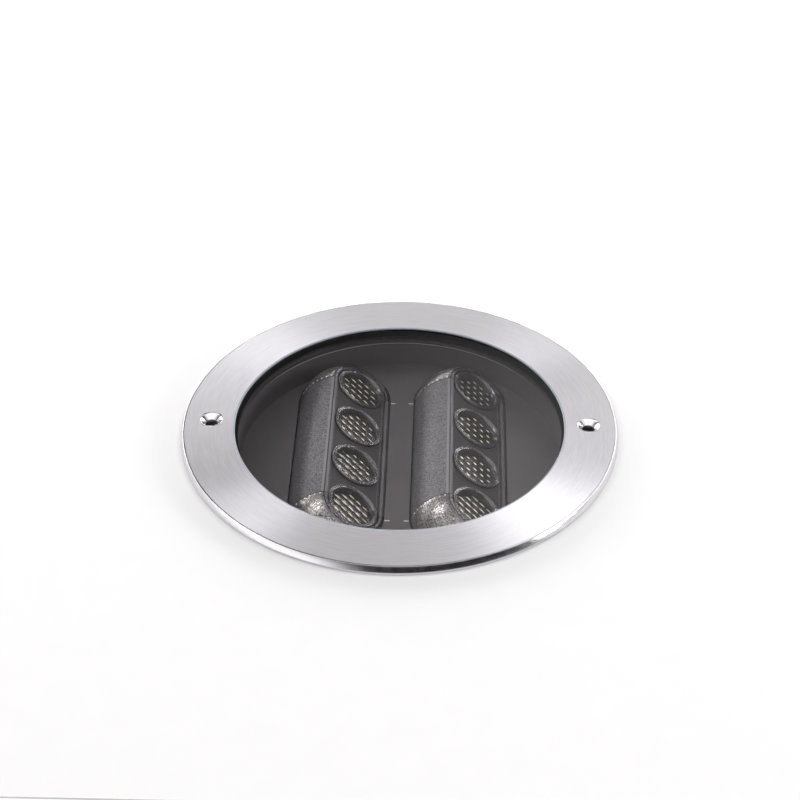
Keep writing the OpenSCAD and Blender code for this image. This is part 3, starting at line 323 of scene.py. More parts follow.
# Each hole is a band of rings from the block's rim on the face, in to the countersink, down
# the cone and the bore, and out to the block's rim below. Ring points keep the rim's angles.
hole_points, hole_quads, hole_finish = [], [], []
flat_points = trim_points.reshape(-1, 3)
for side in (0, 1):
    first = side * trim_steps // 2 - turn_half
    upper = block_rim(first, face_start, 1)
    lower = block_rim(first, under_start + block_cells, -1)
    centre = np.array([sleeve_r * (1 - 2 * side), 0, 0])
    ray = flat_points[upper] - centre
    ray[:, 2] = 0
    ray /= np.linalg.norm(ray, axis=1, keepdims=True)
    up = np.array([0, 0, 1])
    # Radius and height of each ring, with the edges broken by about 0.1 mm
    rings = [centre + ray * r + up * z for r, z in (
        (sink_r + 0.12, trim_t), (sink_r + 0.03, trim_t - 0.03), (sink_r - 0.06, trim_t - 0.12),
        (bore_r + 0.12, trim_t - sink_r + bore_r - 0.02), (bore_r, trim_t - sink_r + bore_r - 0.2),
        (bore_r, register_z + 0.1), (bore_r + 0.1, register_z))]
    face_part, under_part = np.linspace(0, 1, 6)[1:-1], np.linspace(0, 1, 4)[1:-1]
    band = np.concatenate([
        [flat_points[upper] * (1 - t) + rings[0] * t for t in face_part], rings,
        [rings[-1] * (1 - t) + flat_points[lower] * t for t in under_part]])
    start = trim_points.shape[0] * trim_columns + side * band.shape[0] * band.shape[1]
    numbers = np.concatenate([
        [upper], start + np.arange(band.shape[0] * band.shape[1]).reshape(band.shape[:2]), [lower]])
    i, j = np.meshgrid(np.arange(len(numbers) - 1), np.arange(len(upper)), indexing="ij")
    k = (j + 1) % len(upper)
    hole_quads.append(np.stack(
        [numbers[i, j], numbers[i, k], numbers[i + 1, k], numbers[i + 1, j]], -1).reshape(-1, 4))
    in_sink = (i >= len(face_part)) & (i < len(face_part) + len(rings))
    hole_finish.append(np.where(in_sink, turned_face, brushed_face).ravel())
    hole_points.append(band.reshape(-1, 3))

# Circular brushing: fine scratches run round the ring, so a lamp is mirrored as a bright
# wedge across it. The scratches, about 0.1 mm apart, are drawn 0.5 mm apart so that they show.
# On a circle of 91 mm radius each is 13 mm long.
scratch_apart_mm, scratch_circle_mm, scratch_length_mm = 0.5, 91, 13
brushed = new_finish("circular_brushed_stainless")
place = add_node(brushed, "ShaderNodeTexCoord")
axes = add_node(brushed, "ShaderNodeSeparateXYZ", {0: place.outputs["Object"]})
level = add_node(brushed, "ShaderNodeCombineXYZ", {"X": axes.outputs["X"], "Y": axes.outputs["Y"]})
radius = add_node(brushed, "ShaderNodeVectorMath", {0: level.outputs[0]}, operation="LENGTH")
heading = add_node(brushed, "ShaderNodeVectorMath", {0: level.outputs[0]}, operation="NORMALIZE")
scratch_long = add_node(brushed, "ShaderNodeVectorMath", {
    0: heading.outputs[0], "Scale": scratch_circle_mm / scratch_length_mm}, operation="SCALE")
scratch_far = add_node(brushed, "ShaderNodeMath", {
    0: radius.outputs["Value"], 1: 1000 / scratch_apart_mm}, operation="MULTIPLY")
scratch_way = add_node(brushed, "ShaderNodeSeparateXYZ", {0: scratch_long.outputs[0]})
scratch_place = add_node(brushed, "ShaderNodeCombineXYZ", {
    "X": scratch_way.outputs["X"], "Y": scratch_way.outputs["Y"], "Z": scratch_far.outputs[0]})
scratches = add_node(brushed, "ShaderNodeTexNoise", {
    "Vector": scratch_place.outputs[0], "Scale": 1.0, "Detail": 3.0, "Roughness": 0.6})
brushed_tone = add_node(brushed, "ShaderNodeMix", {
    0: scratches.outputs[0], 6: hex_linear("BCBBC0"), 7: hex_linear("DEDDE1")}, data_type="RGBA")
brushed_gloss = add_node(brushed, "ShaderNodeMapRange", {
    "Value": scratches.outputs[0], "To Min": 0.32, "To Max": 0.42})
brushed_bump = add_node(brushed, "ShaderNodeBump", {
    "Height": scratches.outputs[0], "Strength": 0.10, "Distance": 0.0002})
brushed_way = add_node(brushed, "ShaderNodeTangent", direction_type="RADIAL", axis="Z")
brushed_shader = add_node(brushed, "ShaderNodeBsdfPrincipled", {
    "Base Color": brushed_tone.outputs[2], "Metallic": 1.0, "Roughness": brushed_gloss.outputs[0],
    "Anisotropic": 0.9, "Anisotropic Rotation": 0.25, "Tangent": brushed_way.outputs[0],
    "Normal": brushed_bump.outputs[0]})
add_node(brushed, "ShaderNodeOutputMaterial", {"Surface": brushed_shader.outputs[0]})


def grain_tone(finish, grain_mm, low_tone, high_tone, detail=2.0):
    """Cloudy grain of a real size in millimetres, and the tone that it carries from one hex
    colour to the other."""
    spot = add_node(finish, "ShaderNodeTexCoord")
    grain = add_node(finish, "ShaderNodeTexNoise", {
        "Vector": spot.outputs["Object"], "Scale": 1000 / grain_mm, "Detail": detail})
    tone = add_node(finish, "ShaderNodeMix", {
        0: grain.outputs[0], 6: hex_linear(low_tone), 7: hex_linear(high_tone)}, data_type="RGBA")
    return grain.outputs[0], tone.outputs[2]


# The bevel and the countersinks are left as the tool turned them: nearly mirror bright
turned_steel = new_finish("turned_stainless")
tool_marks, turned_tone = grain_tone(turned_steel, 2.5, "D0CFD3", "E0DFE3")
turned_gloss = add_node(turned_steel, "ShaderNodeMapRange", {
    "Value": tool_marks, "To Min": 0.14, "To Max": 0.24})
turned_shader = add_node(turned_steel, "ShaderNodeBsdfPrincipled", {
    "Base Color": turned_tone, "Metallic": 1.0, "Roughness": turned_gloss.outputs[0]})
add_node(turned_steel, "ShaderNodeOutputMaterial", {"Surface": turned_shader.outputs[0]})

# The lip's upright edge is left as the laser cut it: satin, so it shows as a thin grey line
cut_edge = new_finish("laser_cut_edge")
cut_tone = grain_tone(cut_edge, 0.6, "7E868C", "98A0A6")[1]
cut_shader = add_node(cut_edge, "ShaderNodeBsdfPrincipled", {
    "Base Color": cut_tone, "Metallic": 0.6, "Roughness": 0.6})
add_node(cut_edge, "ShaderNodeOutputMaterial", {"Surface": cut_shader.outputs[0]})

trim = closed_object(
    "trim", np.concatenate([flat_points, *hole_points]),
    np.concatenate([trim_quads[trim_kept], *hole_quads]), [brushed, turned_steel, cut_edge],
    np.concatenate([trim_finish[trim_kept], *hole_finish]))
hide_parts("trim_ring")
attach(trim, "fixed_body")


# Cover glass
# A disc of clear toughened glass, 6 mm thick with small ground edges, pressed up against the
# trim's lip by its seal. Light for shadows goes straight through, so the cup below is lit.
def dress(finish, *names):
    """Gives CAD nodes their finish."""
    for name in names:
        nodes[name].data.materials.clear()
        nodes[name].data.materials.append(finish)


clear_glass = new_finish("clear_toughened_glass")
place = add_node(clear_glass, "ShaderNodeTexCoord")
smear = add_node(clear_glass, "ShaderNodeTexNoise", {
    "Vector": place.outputs["Object"], "Scale": 1000 / 60, "Detail": 1.0})
smear_gloss = add_node(clear_glass, "ShaderNodeMapRange", {
    "Value": smear.outputs[0], "To Min": 0.0, "To Max": 0.012})
glass_shader = add_node(clear_glass, "ShaderNodeBsdfPrincipled", {
    "Base Color": hex_linear("FCFBFB"), "Roughness": smear_gloss.outputs[0], "IOR": 1.52,
    "Transmission Weight": 1.0})
glass_through = add_node(clear_glass, "ShaderNodeBsdfTransparent", {"Color": hex_linear("F5F3F3")})
glass_ray = add_node(clear_glass, "ShaderNodeLightPath")
glass_mix = add_node(clear_glass, "ShaderNodeMixShader", {
    0: glass_ray.outputs["Is Shadow Ray"], 1: glass_shader.outputs[0], 2: glass_through.outputs[0]})
add_node(clear_glass, "ShaderNodeOutputMaterial", {"Surface": glass_mix.outputs[0]})
dress(clear_glass, "cover_glass")


# Seals, tape and washers
# Black silicone and foam: matt, nearly black, with the faint skin of moulded rubber. Each is
# squeezed between the two pieces that it seals.
rubber = new_finish("moulded_black_silicone")
rubber_skin, rubber_tone = grain_tone(rubber, 0.8, "141415", "242426", detail=3.0)
rubber_gloss = add_node(rubber, "ShaderNodeMapRange", {
    "Value": rubber_skin, "To Min": 0.5, "To Max": 0.7})
rubber_bump = add_node(rubber, "ShaderNodeBump", {
    "Height": rubber_skin, "Strength": 0.2, "Distance": 0.0001})
rubber_shader = add_node(rubber, "ShaderNodeBsdfPrincipled", {
    "Base Color": rubber_tone, "Roughness": rubber_gloss.outputs[0], "IOR": 1.41,
    "Normal": rubber_bump.outputs[0]})
add_node(rubber, "ShaderNodeOutputMaterial", {"Surface": rubber_shader.outputs[0]})
dress(rubber, "glass_tape", "glass_seal", "frame_gasket", "bottom_seal", "tray_grommets",
      "box_gasket", "gland_washer", "gland_insert", "left_lead_grommet", "right_lead_grommet")


# Screws and pins
# Steel, cold headed or turned, then zinc plated: pale, slightly cloudy metal with a soft gloss.
zinc = new_finish("zinc_plated_steel")
zinc_cloud, zinc_tone = grain_tone(zinc, 1.5, "A9ACB0", "CBCDD0", detail=3.0)
zinc_gloss = add_node(zinc, "ShaderNodeMapRange", {
    "Value": zinc_cloud, "To Min": 0.26, "To Max": 0.44})
zinc_edge = add_node(zinc, "ShaderNodeBevel", {"Radius": 0.0002}, samples=4)
zinc_shader = add_node(zinc, "ShaderNodeBsdfPrincipled", {
    "Base Color": zinc_tone, "Metallic": 1.0, "Roughness": zinc_gloss.outputs[0],
    "Normal": zinc_edge.outputs[0]})
add_node(zinc, "ShaderNodeOutputMaterial", {"Surface": zinc_shader.outputs[0]})
dress(zinc, "trim_screws", "frame_screws", "box_screws", "tray_screws", "bracket_screws",
      "driver_screws", "bottom_screws", "left_cap_screws", "right_cap_screws",
      "left_pivot_pins", "right_pivot_pins", "left_lock_screw", "right_lock_screw")


# Frame ring
# Die cast aluminium, shot blasted and coated black. It carries the glass in its seal, and its
# wall is the dark band under the glass.
casting = new_finish("black_coated_casting")
place = add_node(casting, "ShaderNodeTexCoord")
blast_grain = add_node(casting, "ShaderNodeTexNoise", {
    "Vector": place.outputs["Object"], "Scale": 1000 / 0.5, "Detail": 3.0})
casting_tone = grain_tone(casting, 14, "1E1C1D", "292728")[1]
casting_edge = add_node(casting, "ShaderNodeBevel", {"Radius": 0.0005}, samples=4)
casting_bump = add_node(casting, "ShaderNodeBump", {
    "Height": blast_grain.outputs[0], "Strength": 0.5, "Distance": 0.00008,
    "Normal": casting_edge.outputs[0]})
casting_gloss = add_node(casting, "ShaderNodeMapRange", {
    "Value": blast_grain.outputs[0], "To Min": 0.42, "To Max": 0.6})
casting_shader = add_node(casting, "ShaderNodeBsdfPrincipled", {
    "Base Color": casting_tone, "Roughness": casting_gloss.outputs[0],
    "Normal": casting_bump.outputs[0]})
add_node(casting, "ShaderNodeOutputMaterial", {"Surface": casting_shader.outputs[0]})
dress(casting, "frame_ring")


# Cup
# Pressed aluminium, painted a smooth matt dark grey. The flow of the coat makes it slightly
# uneven, and a highlight painted along the top edge of its rim draws a thin light line.
cup_paint = new_finish("matt_dark_powder_coat")
place = add_node(cup_paint, "ShaderNodeTexCoord")
cup_grain = add_node(cup_paint, "ShaderNodeTexNoise", {
    "Vector": place.outputs["Object"], "Scale": 1000 / 0.6, "Detail": 2.0})
cup_coat = grain_tone(cup_paint, 18, "3B373A", "444043")[1]
# The rim's upper 0.6 mm gets a painted highlight between the first two heights, and four short scribed
# lines mark the ends of the slots: their middles and half sizes, and how far the marks lie ahead of
# the light's own middle, in metres
rim_highlight_low_z, rim_highlight_high_z = -0.0087, -0.0085
scribe_mid_x, scribe_half_x, scribe_mid_y, scribe_half_y = 0.0045, 0.0012, 0.0454, 0.0003
scribe_lead = 0.0020
cup_axes = add_node(cup_paint, "ShaderNodeSeparateXYZ", {0: place.outputs["Object"]})
# Painted highlight: the coat turns light over the rim's top edge, between these heights
cup_rim_highlight = add_node(cup_paint, "ShaderNodeMapRange", {
    "Value": cup_axes.outputs["Z"], "From Min": rim_highlight_low_z, "From Max": rim_highlight_high_z})
scribe_x = add_node(cup_paint, "ShaderNodeMath", {0: cup_axes.outputs["X"]}, operation="ABSOLUTE")
scribe_ahead = add_node(cup_paint, "ShaderNodeMath", {
    0: cup_axes.outputs["Y"], 1: scribe_lead}, operation="ADD")
scribe_y = add_node(cup_paint, "ShaderNodeMath", {0: scribe_ahead.outputs[0]}, operation="ABSOLUTE")
scribe_along = add_node(cup_paint, "ShaderNodeMath", {
    0: scribe_x.outputs[0], 1: scribe_mid_x, 2: scribe_half_x}, operation="COMPARE")
scribe_across = add_node(cup_paint, "ShaderNodeMath", {
    0: scribe_y.outputs[0], 1: scribe_mid_y, 2: scribe_half_y}, operation="COMPARE")
scribe = add_node(cup_paint, "ShaderNodeMath", {
    0: scribe_along.outputs[0], 1: scribe_across.outputs[0]}, operation="MULTIPLY")
# The painted highlight of the rim and the real scribed marks both take the light tone
cup_scribes_and_highlight = add_node(cup_paint, "ShaderNodeMath", {
    0: cup_rim_highlight.outputs[0], 1: scribe.outputs[0]}, operation="MAXIMUM")
cup_tone = add_node(cup_paint, "ShaderNodeMix", {
    0: cup_scribes_and_highlight.outputs[0], 6: cup_coat, 7: hex_linear("CCC8CA")}, data_type="RGBA")
cup_gloss = add_node(cup_paint, "ShaderNodeMapRange", {
    "Value": cup_grain.outputs[0], "To Min": 0.44, "To Max": 0.58})
cup_edge = add_node(cup_paint, "ShaderNodeBevel", {"Radius": 0.0007}, samples=6)
cup_bump = add_node(cup_paint, "ShaderNodeBump", {
    "Height": cup_grain.outputs[0], "Strength": 0.25, "Distance": 0.00005,
    "Normal": cup_edge.outputs[0]})
cup_shader = add_node(cup_paint, "ShaderNodeBsdfPrincipled", {
    "Base Color": cup_tone.outputs[2], "Roughness": cup_gloss.outputs[0],
    "Normal": cup_bump.outputs[0]})
add_node(cup_paint, "ShaderNodeOutputMaterial", {"Surface": cup_shader.outputs[0]})
dress(cup_paint, "baffle_cup")


# Housing, driver box, fins and bottom cover
# Die cast aluminium under a dark grey powder coat with a fine sandy texture of about 0.7 mm.
housing_paint = new_finish("sandy_dark_powder_coat")
place = add_node(housing_paint, "ShaderNodeTexCoord")
sand = add_node(housing_paint, "ShaderNodeTexNoise", {
    "Vector": place.outputs["Object"], "Scale": 1000 / 0.7, "Detail": 3.0})
housing_tone = grain_tone(housing_paint, 25, "39393B", "464648")[1]
housing_gloss = add_node(housing_paint, "ShaderNodeMapRange", {
    "Value": sand.outputs[0], "To Min": 0.45, "To Max": 0.65})
housing_edge = add_node(housing_paint, "ShaderNodeBevel", {"Radius": 0.0007}, samples=6)
housing_bump = add_node(housing_paint, "ShaderNodeBump", {
    "Height": sand.outputs[0], "Strength": 0.6, "Distance": 0.0001,
    "Normal": housing_edge.outputs[0]})
housing_shader = add_node(housing_paint, "ShaderNodeBsdfPrincipled", {
    "Base Color": housing_tone, "Roughness": housing_gloss.outputs[0],
    "Normal": housing_bump.outputs[0]})
add_node(housing_paint, "ShaderNodeOutputMaterial", {"Surface": housing_shader.outputs[0]})
dress(housing_paint, "housing", "driver_box", "cooling_fins", "bottom_cover")


# Gear tray and brackets
# Aluminium and zinc plated steel sheet with the long faint lines that rolling leaves.
sheet_metal = new_finish("mill_finish_sheet")
place = add_node(sheet_metal, "ShaderNodeTexCoord")
roll_way = add_node(sheet_metal, "ShaderNodeMapping", {
    "Vector": place.outputs["Object"], "Scale": (1000 / 30, 1000 / 0.5, 1000 / 0.5)})
roll_lines = add_node(sheet_metal, "ShaderNodeTexNoise", {
    "Vector": roll_way.outputs[0], "Scale": 1.0, "Detail": 3.0})
sheet_tone = add_node(sheet_metal, "ShaderNodeMix", {
    0: roll_lines.outputs[0], 6: hex_linear("B0B2B5"), 7: hex_linear("D2D3D5")}, data_type="RGBA")
sheet_gloss = add_node(sheet_metal, "ShaderNodeMapRange", {
    "Value": roll_lines.outputs[0], "To Min": 0.28, "To Max": 0.46})
sheet_shader = add_node(sheet_metal, "ShaderNodeBsdfPrincipled", {
    "Base Color": sheet_tone.outputs[2], "Metallic": 1.0, "Roughness": sheet_gloss.outputs[0]})
add_node(sheet_metal, "ShaderNodeOutputMaterial", {"Surface": sheet_shader.outputs[0]})
dress(sheet_metal, "gear_tray", "front_bracket", "rear_bracket")


# Brass parts
# The earth screw, the clamp screws and the nuts of the gland and vent: turned brass left bare,
# a warm yellow metal with a soft gloss.
brass = new_finish("turned_brass")
brass_cloud, brass_tone = grain_tone(brass, 2, "B8923E", "D2B160")
brass_gloss = add_node(brass, "ShaderNodeMapRange", {
    "Value": brass_cloud, "To Min": 0.22, "To Max": 0.36})
brass_shader = add_node(brass, "ShaderNodeBsdfPrincipled", {
    "Base Color": brass_tone, "Metallic": 1.0, "Roughness": brass_gloss.outputs[0]})
add_node(brass, "ShaderNodeOutputMaterial", {"Surface": brass_shader.outputs[0]})
dress(brass, "earth_screw", "terminal_screws", "gland_lock_nut", "vent_nut")


# Plastic parts of the gear
# White ABS of the driver and terminal block, natural nylon of the bushes, black nylon of the
# gland and vent, blue insulation of the leads: each moulded, with a fine eroded skin.
for plastic_name, low_tone, high_tone, gloss, grain_mm, index, parts in (
    ("moulded_white_abs", "DADAD6", "ECECE9", 0.5, 0.6, 1.53, ("driver_case", "terminal_block")),
    ("natural_nylon", "DCD8C8", "EDEADF", 0.45, 1.0, 1.53, ("pivot_bushes",)),
    ("moulded_black_nylon", "161617", "28282A", 0.48, 0.8, 1.53,
     ("gland_body", "gland_dome_nut", "vent_body")),
    ("blue_wire_insulation", "34406E", "44538C", 0.35, 1.2, 1.53, ("driver_leads",)),
):
    plastic = new_finish(plastic_name)
    plastic_skin, plastic_tone = grain_tone(plastic, grain_mm, low_tone, high_tone, detail=3.0)
    plastic_edge = add_node(plastic, "ShaderNodeBevel", {"Radius": 0.0004}, samples=4)
    plastic_bump = add_node(plastic, "ShaderNodeBump", {
        "Height": plastic_skin, "Strength": 0.25, "Distance": 0.00006,
        "Normal": plastic_edge.outputs[0]})
    plastic_shader = add_node(plastic, "ShaderNodeBsdfPrincipled", {
        "Base Color": plastic_tone, "Roughness": gloss, "IOR": index,
        "Normal": plastic_bump.outputs[0]})
    add_node(plastic, "ShaderNodeOutputMaterial", {"Surface": plastic_shader.outputs[0]})
    dress(plastic, *parts)


# Pod barrels and caps
# Extruded barrels and die cast caps, screwed together, in a grey powder coat with a sparkling
# grain of 0.7 to 0.8 mm. The caps sparkle more and meet their barrel in a fine seam with painted shade
# along it.

# Where the pods' axes lie in the light, in millimetres, and how far the pods lean over
pod_x, pod_axis_z, pod_tilt = 29.0, -28.4, np.radians(30)
tilt_cos, tilt_sin = np.cos(pod_tilt), np.sin(pod_tilt)
# In metres, as shaders read them. With x counted anew from pod to pod, a point lies
# across = x cos - z sin + across_shift and height = x sin + z cos + height_shift from its axis.
pod_pitch, pod_end = 2 * pod_x / 1000, 0.0455
across_shift = (pod_axis_z * tilt_sin - pod_x * tilt_cos) / 1000
height_shift = -(pod_axis_z * tilt_cos + pod_x * tilt_sin) / 1000
# Where the painted highlight by the flat and the painted shade of its groove and of the seam lie, in
# metres
flat_height, flat_highlight, flat_highlight_half = 0.0175, 0.0171, 0.0004
groove_shade_reach, seam_length, seam_shade_half = 0.0151, 0.0452, 0.0003


def pod_ways(finish):
    """Where a point lies in its tilted pod: its length from the middle, its height over the
    axis, and its reach, the distance from the line between the round ends' middles."""
    own = add_node(finish, "ShaderNodeTexCoord")
    own_axes = add_node(finish, "ShaderNodeSeparateXYZ", {0: own.outputs["Object"]})
    aside = add_node(finish, "ShaderNodeMath", {
        0: own_axes.outputs["X"], 1: pod_pitch}, operation="FLOORED_MODULO")
    aside_turned = add_node(finish, "ShaderNodeMath", {
        0: aside.outputs[0], 1: tilt_cos, 2: across_shift}, operation="MULTIPLY_ADD")
    across = add_node(finish, "ShaderNodeMath", {
        0: own_axes.outputs["Z"], 1: -tilt_sin, 2: aside_turned.outputs[0]},
        operation="MULTIPLY_ADD")
    aside_up = add_node(finish, "ShaderNodeMath", {
        0: aside.outputs[0], 1: tilt_sin, 2: height_shift}, operation="MULTIPLY_ADD")
    height = add_node(finish, "ShaderNodeMath", {
        0: own_axes.outputs["Z"], 1: tilt_cos, 2: aside_up.outputs[0]},
        operation="MULTIPLY_ADD")
    length = add_node(finish, "ShaderNodeMath", {0: own_axes.outputs["Y"]}, operation="ABSOLUTE")
    past = add_node(finish, "ShaderNodeMath", {
        0: length.outputs[0], 1: pod_end}, operation="SUBTRACT")
    past_end = add_node(finish, "ShaderNodeMath", {0: past.outputs[0], 1: 0.0}, operation="MAXIMUM")
    way = add_node(finish, "ShaderNodeCombineXYZ", {
        "X": across.outputs[0], "Y": past_end.outputs[0]})
    reach = add_node(finish, "ShaderNodeVectorMath", {0: way.outputs[0]}, operation="LENGTH")
    return length.outputs[0], height.outputs[0], reach.outputs["Value"]


def pod_coat(finish, grain_mm, low_tone, high_tone, metal, low_gloss, high_gloss, bump):
    """Sparkling coat of barrels and caps. The grain sets tone, gloss and bump. Along the flat's
    outer strip runs painted shade for a groove, with a painted highlight on the barrel beside it.
    The seam of cap and barrel gets painted shade for 0.6 mm round the plane where they meet."""
    length, height, reach = pod_ways(finish)
    place = add_node(finish, "ShaderNodeTexCoord")
    grain = add_node(finish, "ShaderNodeTexNoise", {
        "Vector": place.outputs["Object"], "Scale": 1000 / grain_mm, "Detail": 2.0, "Roughness": 0.6})
    speck = add_node(finish, "ShaderNodeMapRange", {
        "Value": grain.outputs[0], "From Min": 0.36, "From Max": 0.66})
    coat = add_node(finish, "ShaderNodeMix", {
        0: speck.outputs[0], 6: hex_linear(low_tone), 7: hex_linear(high_tone)}, data_type="RGBA")
    flat = add_node(finish, "ShaderNodeMapRange", {
        "Value": height, "From Min": flat_height, "From Max": flat_height + 0.00005})
    # Painted highlight: a lighter band on the barrel just below the flat
    edge = add_node(finish, "ShaderNodeMath", {
        0: height, 1: flat_highlight, 2: flat_highlight_half}, operation="COMPARE")
    # Painted shade: a dark line on the flat's outer strip stands for a groove
    groove = add_node(finish, "ShaderNodeMapRange", {
        "Value": reach, "From Min": groove_shade_reach, "From Max": groove_shade_reach + 0.0001})
    groove_shaded = add_node(finish, "ShaderNodeMath", {
        0: groove.outputs[0], 1: flat.outputs[0]}, operation="MULTIPLY")
    edge_highlighted = add_node(finish, "ShaderNodeMix", {
        0: edge.outputs[0], 6: coat.outputs[2], 7: hex_linear("737175")}, data_type="RGBA")
    flattened = add_node(finish, "ShaderNodeMix", {
        0: flat.outputs[0], 6: edge_highlighted.outputs[2], 7: hex_linear("58565A")}, data_type="RGBA")
    tone = add_node(finish, "ShaderNodeMix", {
        0: groove_shaded.outputs[0], 6: flattened.outputs[2], 7: hex_linear("141314")}, data_type="RGBA")
    rounding = add_node(finish, "ShaderNodeBevel", {"Radius": 0.0005}, samples=6)
    relief = add_node(finish, "ShaderNodeBump", {
        "Height": grain.outputs[0], "Strength": 0.9, "Distance": bump,
        "Normal": rounding.outputs[0]})
    # Painted shade along the seam where cap and barrel meet
    seam = add_node(finish, "ShaderNodeMath", {
        0: length, 1: seam_length, 2: seam_shade_half}, operation="COMPARE")
    seam_shaded = add_node(finish, "ShaderNodeMix", {
        0: seam.outputs[0], 6: tone.outputs[2], 7: hex_linear("121112")}, data_type="RGBA")
    gloss = add_node(finish, "ShaderNodeMapRange", {
        "Value": speck.outputs[0], "To Min": low_gloss, "To Max": high_gloss})
    shader = add_node(finish, "ShaderNodeBsdfPrincipled", {
        "Base Color": seam_shaded.outputs[2], "Metallic": metal, "Roughness": gloss.outputs[0],
        "Normal": relief.outputs[0]})
    add_node(finish, "ShaderNodeOutputMaterial", {"Surface": shader.outputs[0]})


pod_paint = new_finish("sparkling_grey_powder_coat")
pod_coat(pod_paint, 0.7, "302E31", "747276", metal=0.35, low_gloss=0.5, high_gloss=0.38, bump=0.00018)
dress(pod_paint, "left_barrel", "right_barrel")

cap_paint = new_finish("sparkling_grey_cast_coat")
pod_coat(cap_paint, 0.8, "454345", "B4B1AE", metal=0.85, low_gloss=0.36, high_gloss=0.24, bump=0.0001)
dress(cap_paint, "left_front_cap", "left_rear_cap", "right_front_cap", "right_rear_cap")


# Knurl beads
# Along the outer shoulder of each cap, behind the seam, a row of small bright beads gives the
# hand a grip to turn the pod. They are pressed from bare zinc and stand 0.3 mm proud.
bead_dome_r, bead_foot, bead_steps = 0.46, 0.3, 10
bead_ring_r, bead_row_y = 23.45, 46.2
bead_first, bead_end, bead_apart = 16, 68, 6.5
bead_angles = np.radians(np.arange(bead_first, bead_end, bead_apart))
dome_turn = np.radians(np.linspace(90, 0, 5))
dome_outline = np.concatenate([
    np.stack([bead_dome_r * np.cos(dome_turn), bead_dome_r * np.sin(dome_turn)], -1),
    [(bead_dome_r, -bead_foot), (0, -bead_foot)]])
dome = turned_grid(dome_outline, bead_steps).reshape(-1, 3)
dome_quads = grid_quads(bead_steps, len(dome_outline), True, False)


def knurl_row(pod_middle, y):
    """Domes along an arc round the pod's axis. At the angle a from the vertical a dome's own
    x, y, z point along (cos a, 0, sin a), (0, 1, 0) and (-sin a, 0, cos a)."""
    c, s = np.cos(bead_angles)[:, None], np.sin(bead_angles)[:, None]
    x, own_y, z = dome[:, 0], dome[:, 1], dome[:, 2] + bead_ring_r
    row = np.stack([x * c - z * s + pod_middle, own_y + y + 0 * c, x * s + z * c + pod_axis_z], -1)
    return row.reshape(-1, 3)


zinc_bead = new_finish("bare_pressed_zinc")
bead_cloud, bead_tone = grain_tone(zinc_bead, 1.2, "E2DCCC", "FAF6EA", detail=1.0)
bead_shine = add_node(zinc_bead, "ShaderNodeMapRange", {
    "Value": bead_cloud, "To Min": 0.24, "To Max": 0.36})
bead_shader = add_node(zinc_bead, "ShaderNodeBsdfPrincipled", {
    "Base Color": bead_tone, "Metallic": 0.65, "Roughness": bead_shine.outputs[0]})
add_node(zinc_bead, "ShaderNodeOutputMaterial", {"Surface": bead_shader.outputs[0]})
for side, pod in ((-1, "left"), (1, "right")):
    bead_points = np.concatenate([knurl_row(side * pod_x, y) for y in (-bead_row_y, bead_row_y)])
    bead_faces = np.concatenate([
        dome_quads + n * len(dome) for n in range(2 * len(bead_angles))])
    beads = closed_object(pod + "_knurl_beads", bead_points, bead_faces, [zinc_bead])
    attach(beads, pod + "_pod")


# Lens plates
# Aluminium sheet with half-round ends, let into the pod's flat and painted dark grey: smooth
# and satin, with soft dull lights.
plate_paint = new_finish("satin_dark_paint")
plate_flow, plate_coat = grain_tone(plate_paint, 5, "282527", "322F31", detail=3.0)
# Round its outline the plate has a dark gap of 0.4 mm painted as shade and, inside it, a rim of 0.9 mm
# painted lighter as a highlight
plate_highlight_reach, plate_shade_reach = 0.0124, 0.0133
plate_reach = pod_ways(plate_paint)[2]
# Painted highlight on the rim, then painted shade in the gap
plate_rim_highlight = add_node(plate_paint, "ShaderNodeMapRange", {
    "Value": plate_reach, "From Min": plate_highlight_reach, "From Max": plate_highlight_reach + 0.0002})
plate_gap_shade = add_node(plate_paint, "ShaderNodeMapRange", {
    "Value": plate_reach, "From Min": plate_shade_reach, "From Max": plate_shade_reach + 0.0001})
plate_highlighted = add_node(plate_paint, "ShaderNodeMix", {
    0: plate_rim_highlight.outputs[0], 6: plate_coat, 7: hex_linear("484447")}, data_type="RGBA")
plate_tone = add_node(plate_paint, "ShaderNodeMix", {
    0: plate_gap_shade.outputs[0], 6: plate_highlighted.outputs[2], 7: hex_linear("0E0D0E")}, data_type="RGBA")
plate_edge = add_node(plate_paint, "ShaderNodeBevel", {"Radius": 0.0003}, samples=4)
plate_gloss = add_node(plate_paint, "ShaderNodeMapRange", {
    "Value": plate_flow, "To Min": 0.5, "To Max": 0.6})
plate_shader = add_node(plate_paint, "ShaderNodeBsdfPrincipled", {
    "Base Color": plate_tone.outputs[2], "Roughness": plate_gloss.outputs[0],
    "Specular IOR Level": 0.25, "Normal": plate_edge.outputs[0]})
add_node(plate_paint, "ShaderNodeOutputMaterial", {"Surface": plate_shader.outputs[0]})
dress(plate_paint, "left_lens_plate", "right_lens_plate")


# Double rings round the lenses
# Glossy dark plastic rings: inside a steep cone that mirrors the white wall as a streak, then
# two round beads. Each has a sleeve through the lens plate.
plate_top, plate_low = 16.0, 14.0
lens_pitch, lens_count = 30.5, 4
lens_places = (np.arange(lens_count) - (lens_count - 1) / 2) * lens_pitch
ring_in_r, ring_out_r, bead_r, bead_z = 10.6, 13.0, 0.46, 16.95
cone_low, cone_w, sleeve_t = 15.7, 0.62, 0.9
ring_steps = 144


def in_pod(points, side):
    """Pod points moved into the light: turned by the tilt about the pod's long axis, then
    set beside the middle, x' = x cos t + z sin t and z' = z cos t - x sin t."""
    x, y, z = np.moveaxis(points, -1, 0)
    return np.stack([
        x * tilt_cos + z * tilt_sin + side * pod_x, y,
        z * tilt_cos - x * tilt_sin + pod_axis_z], -1)


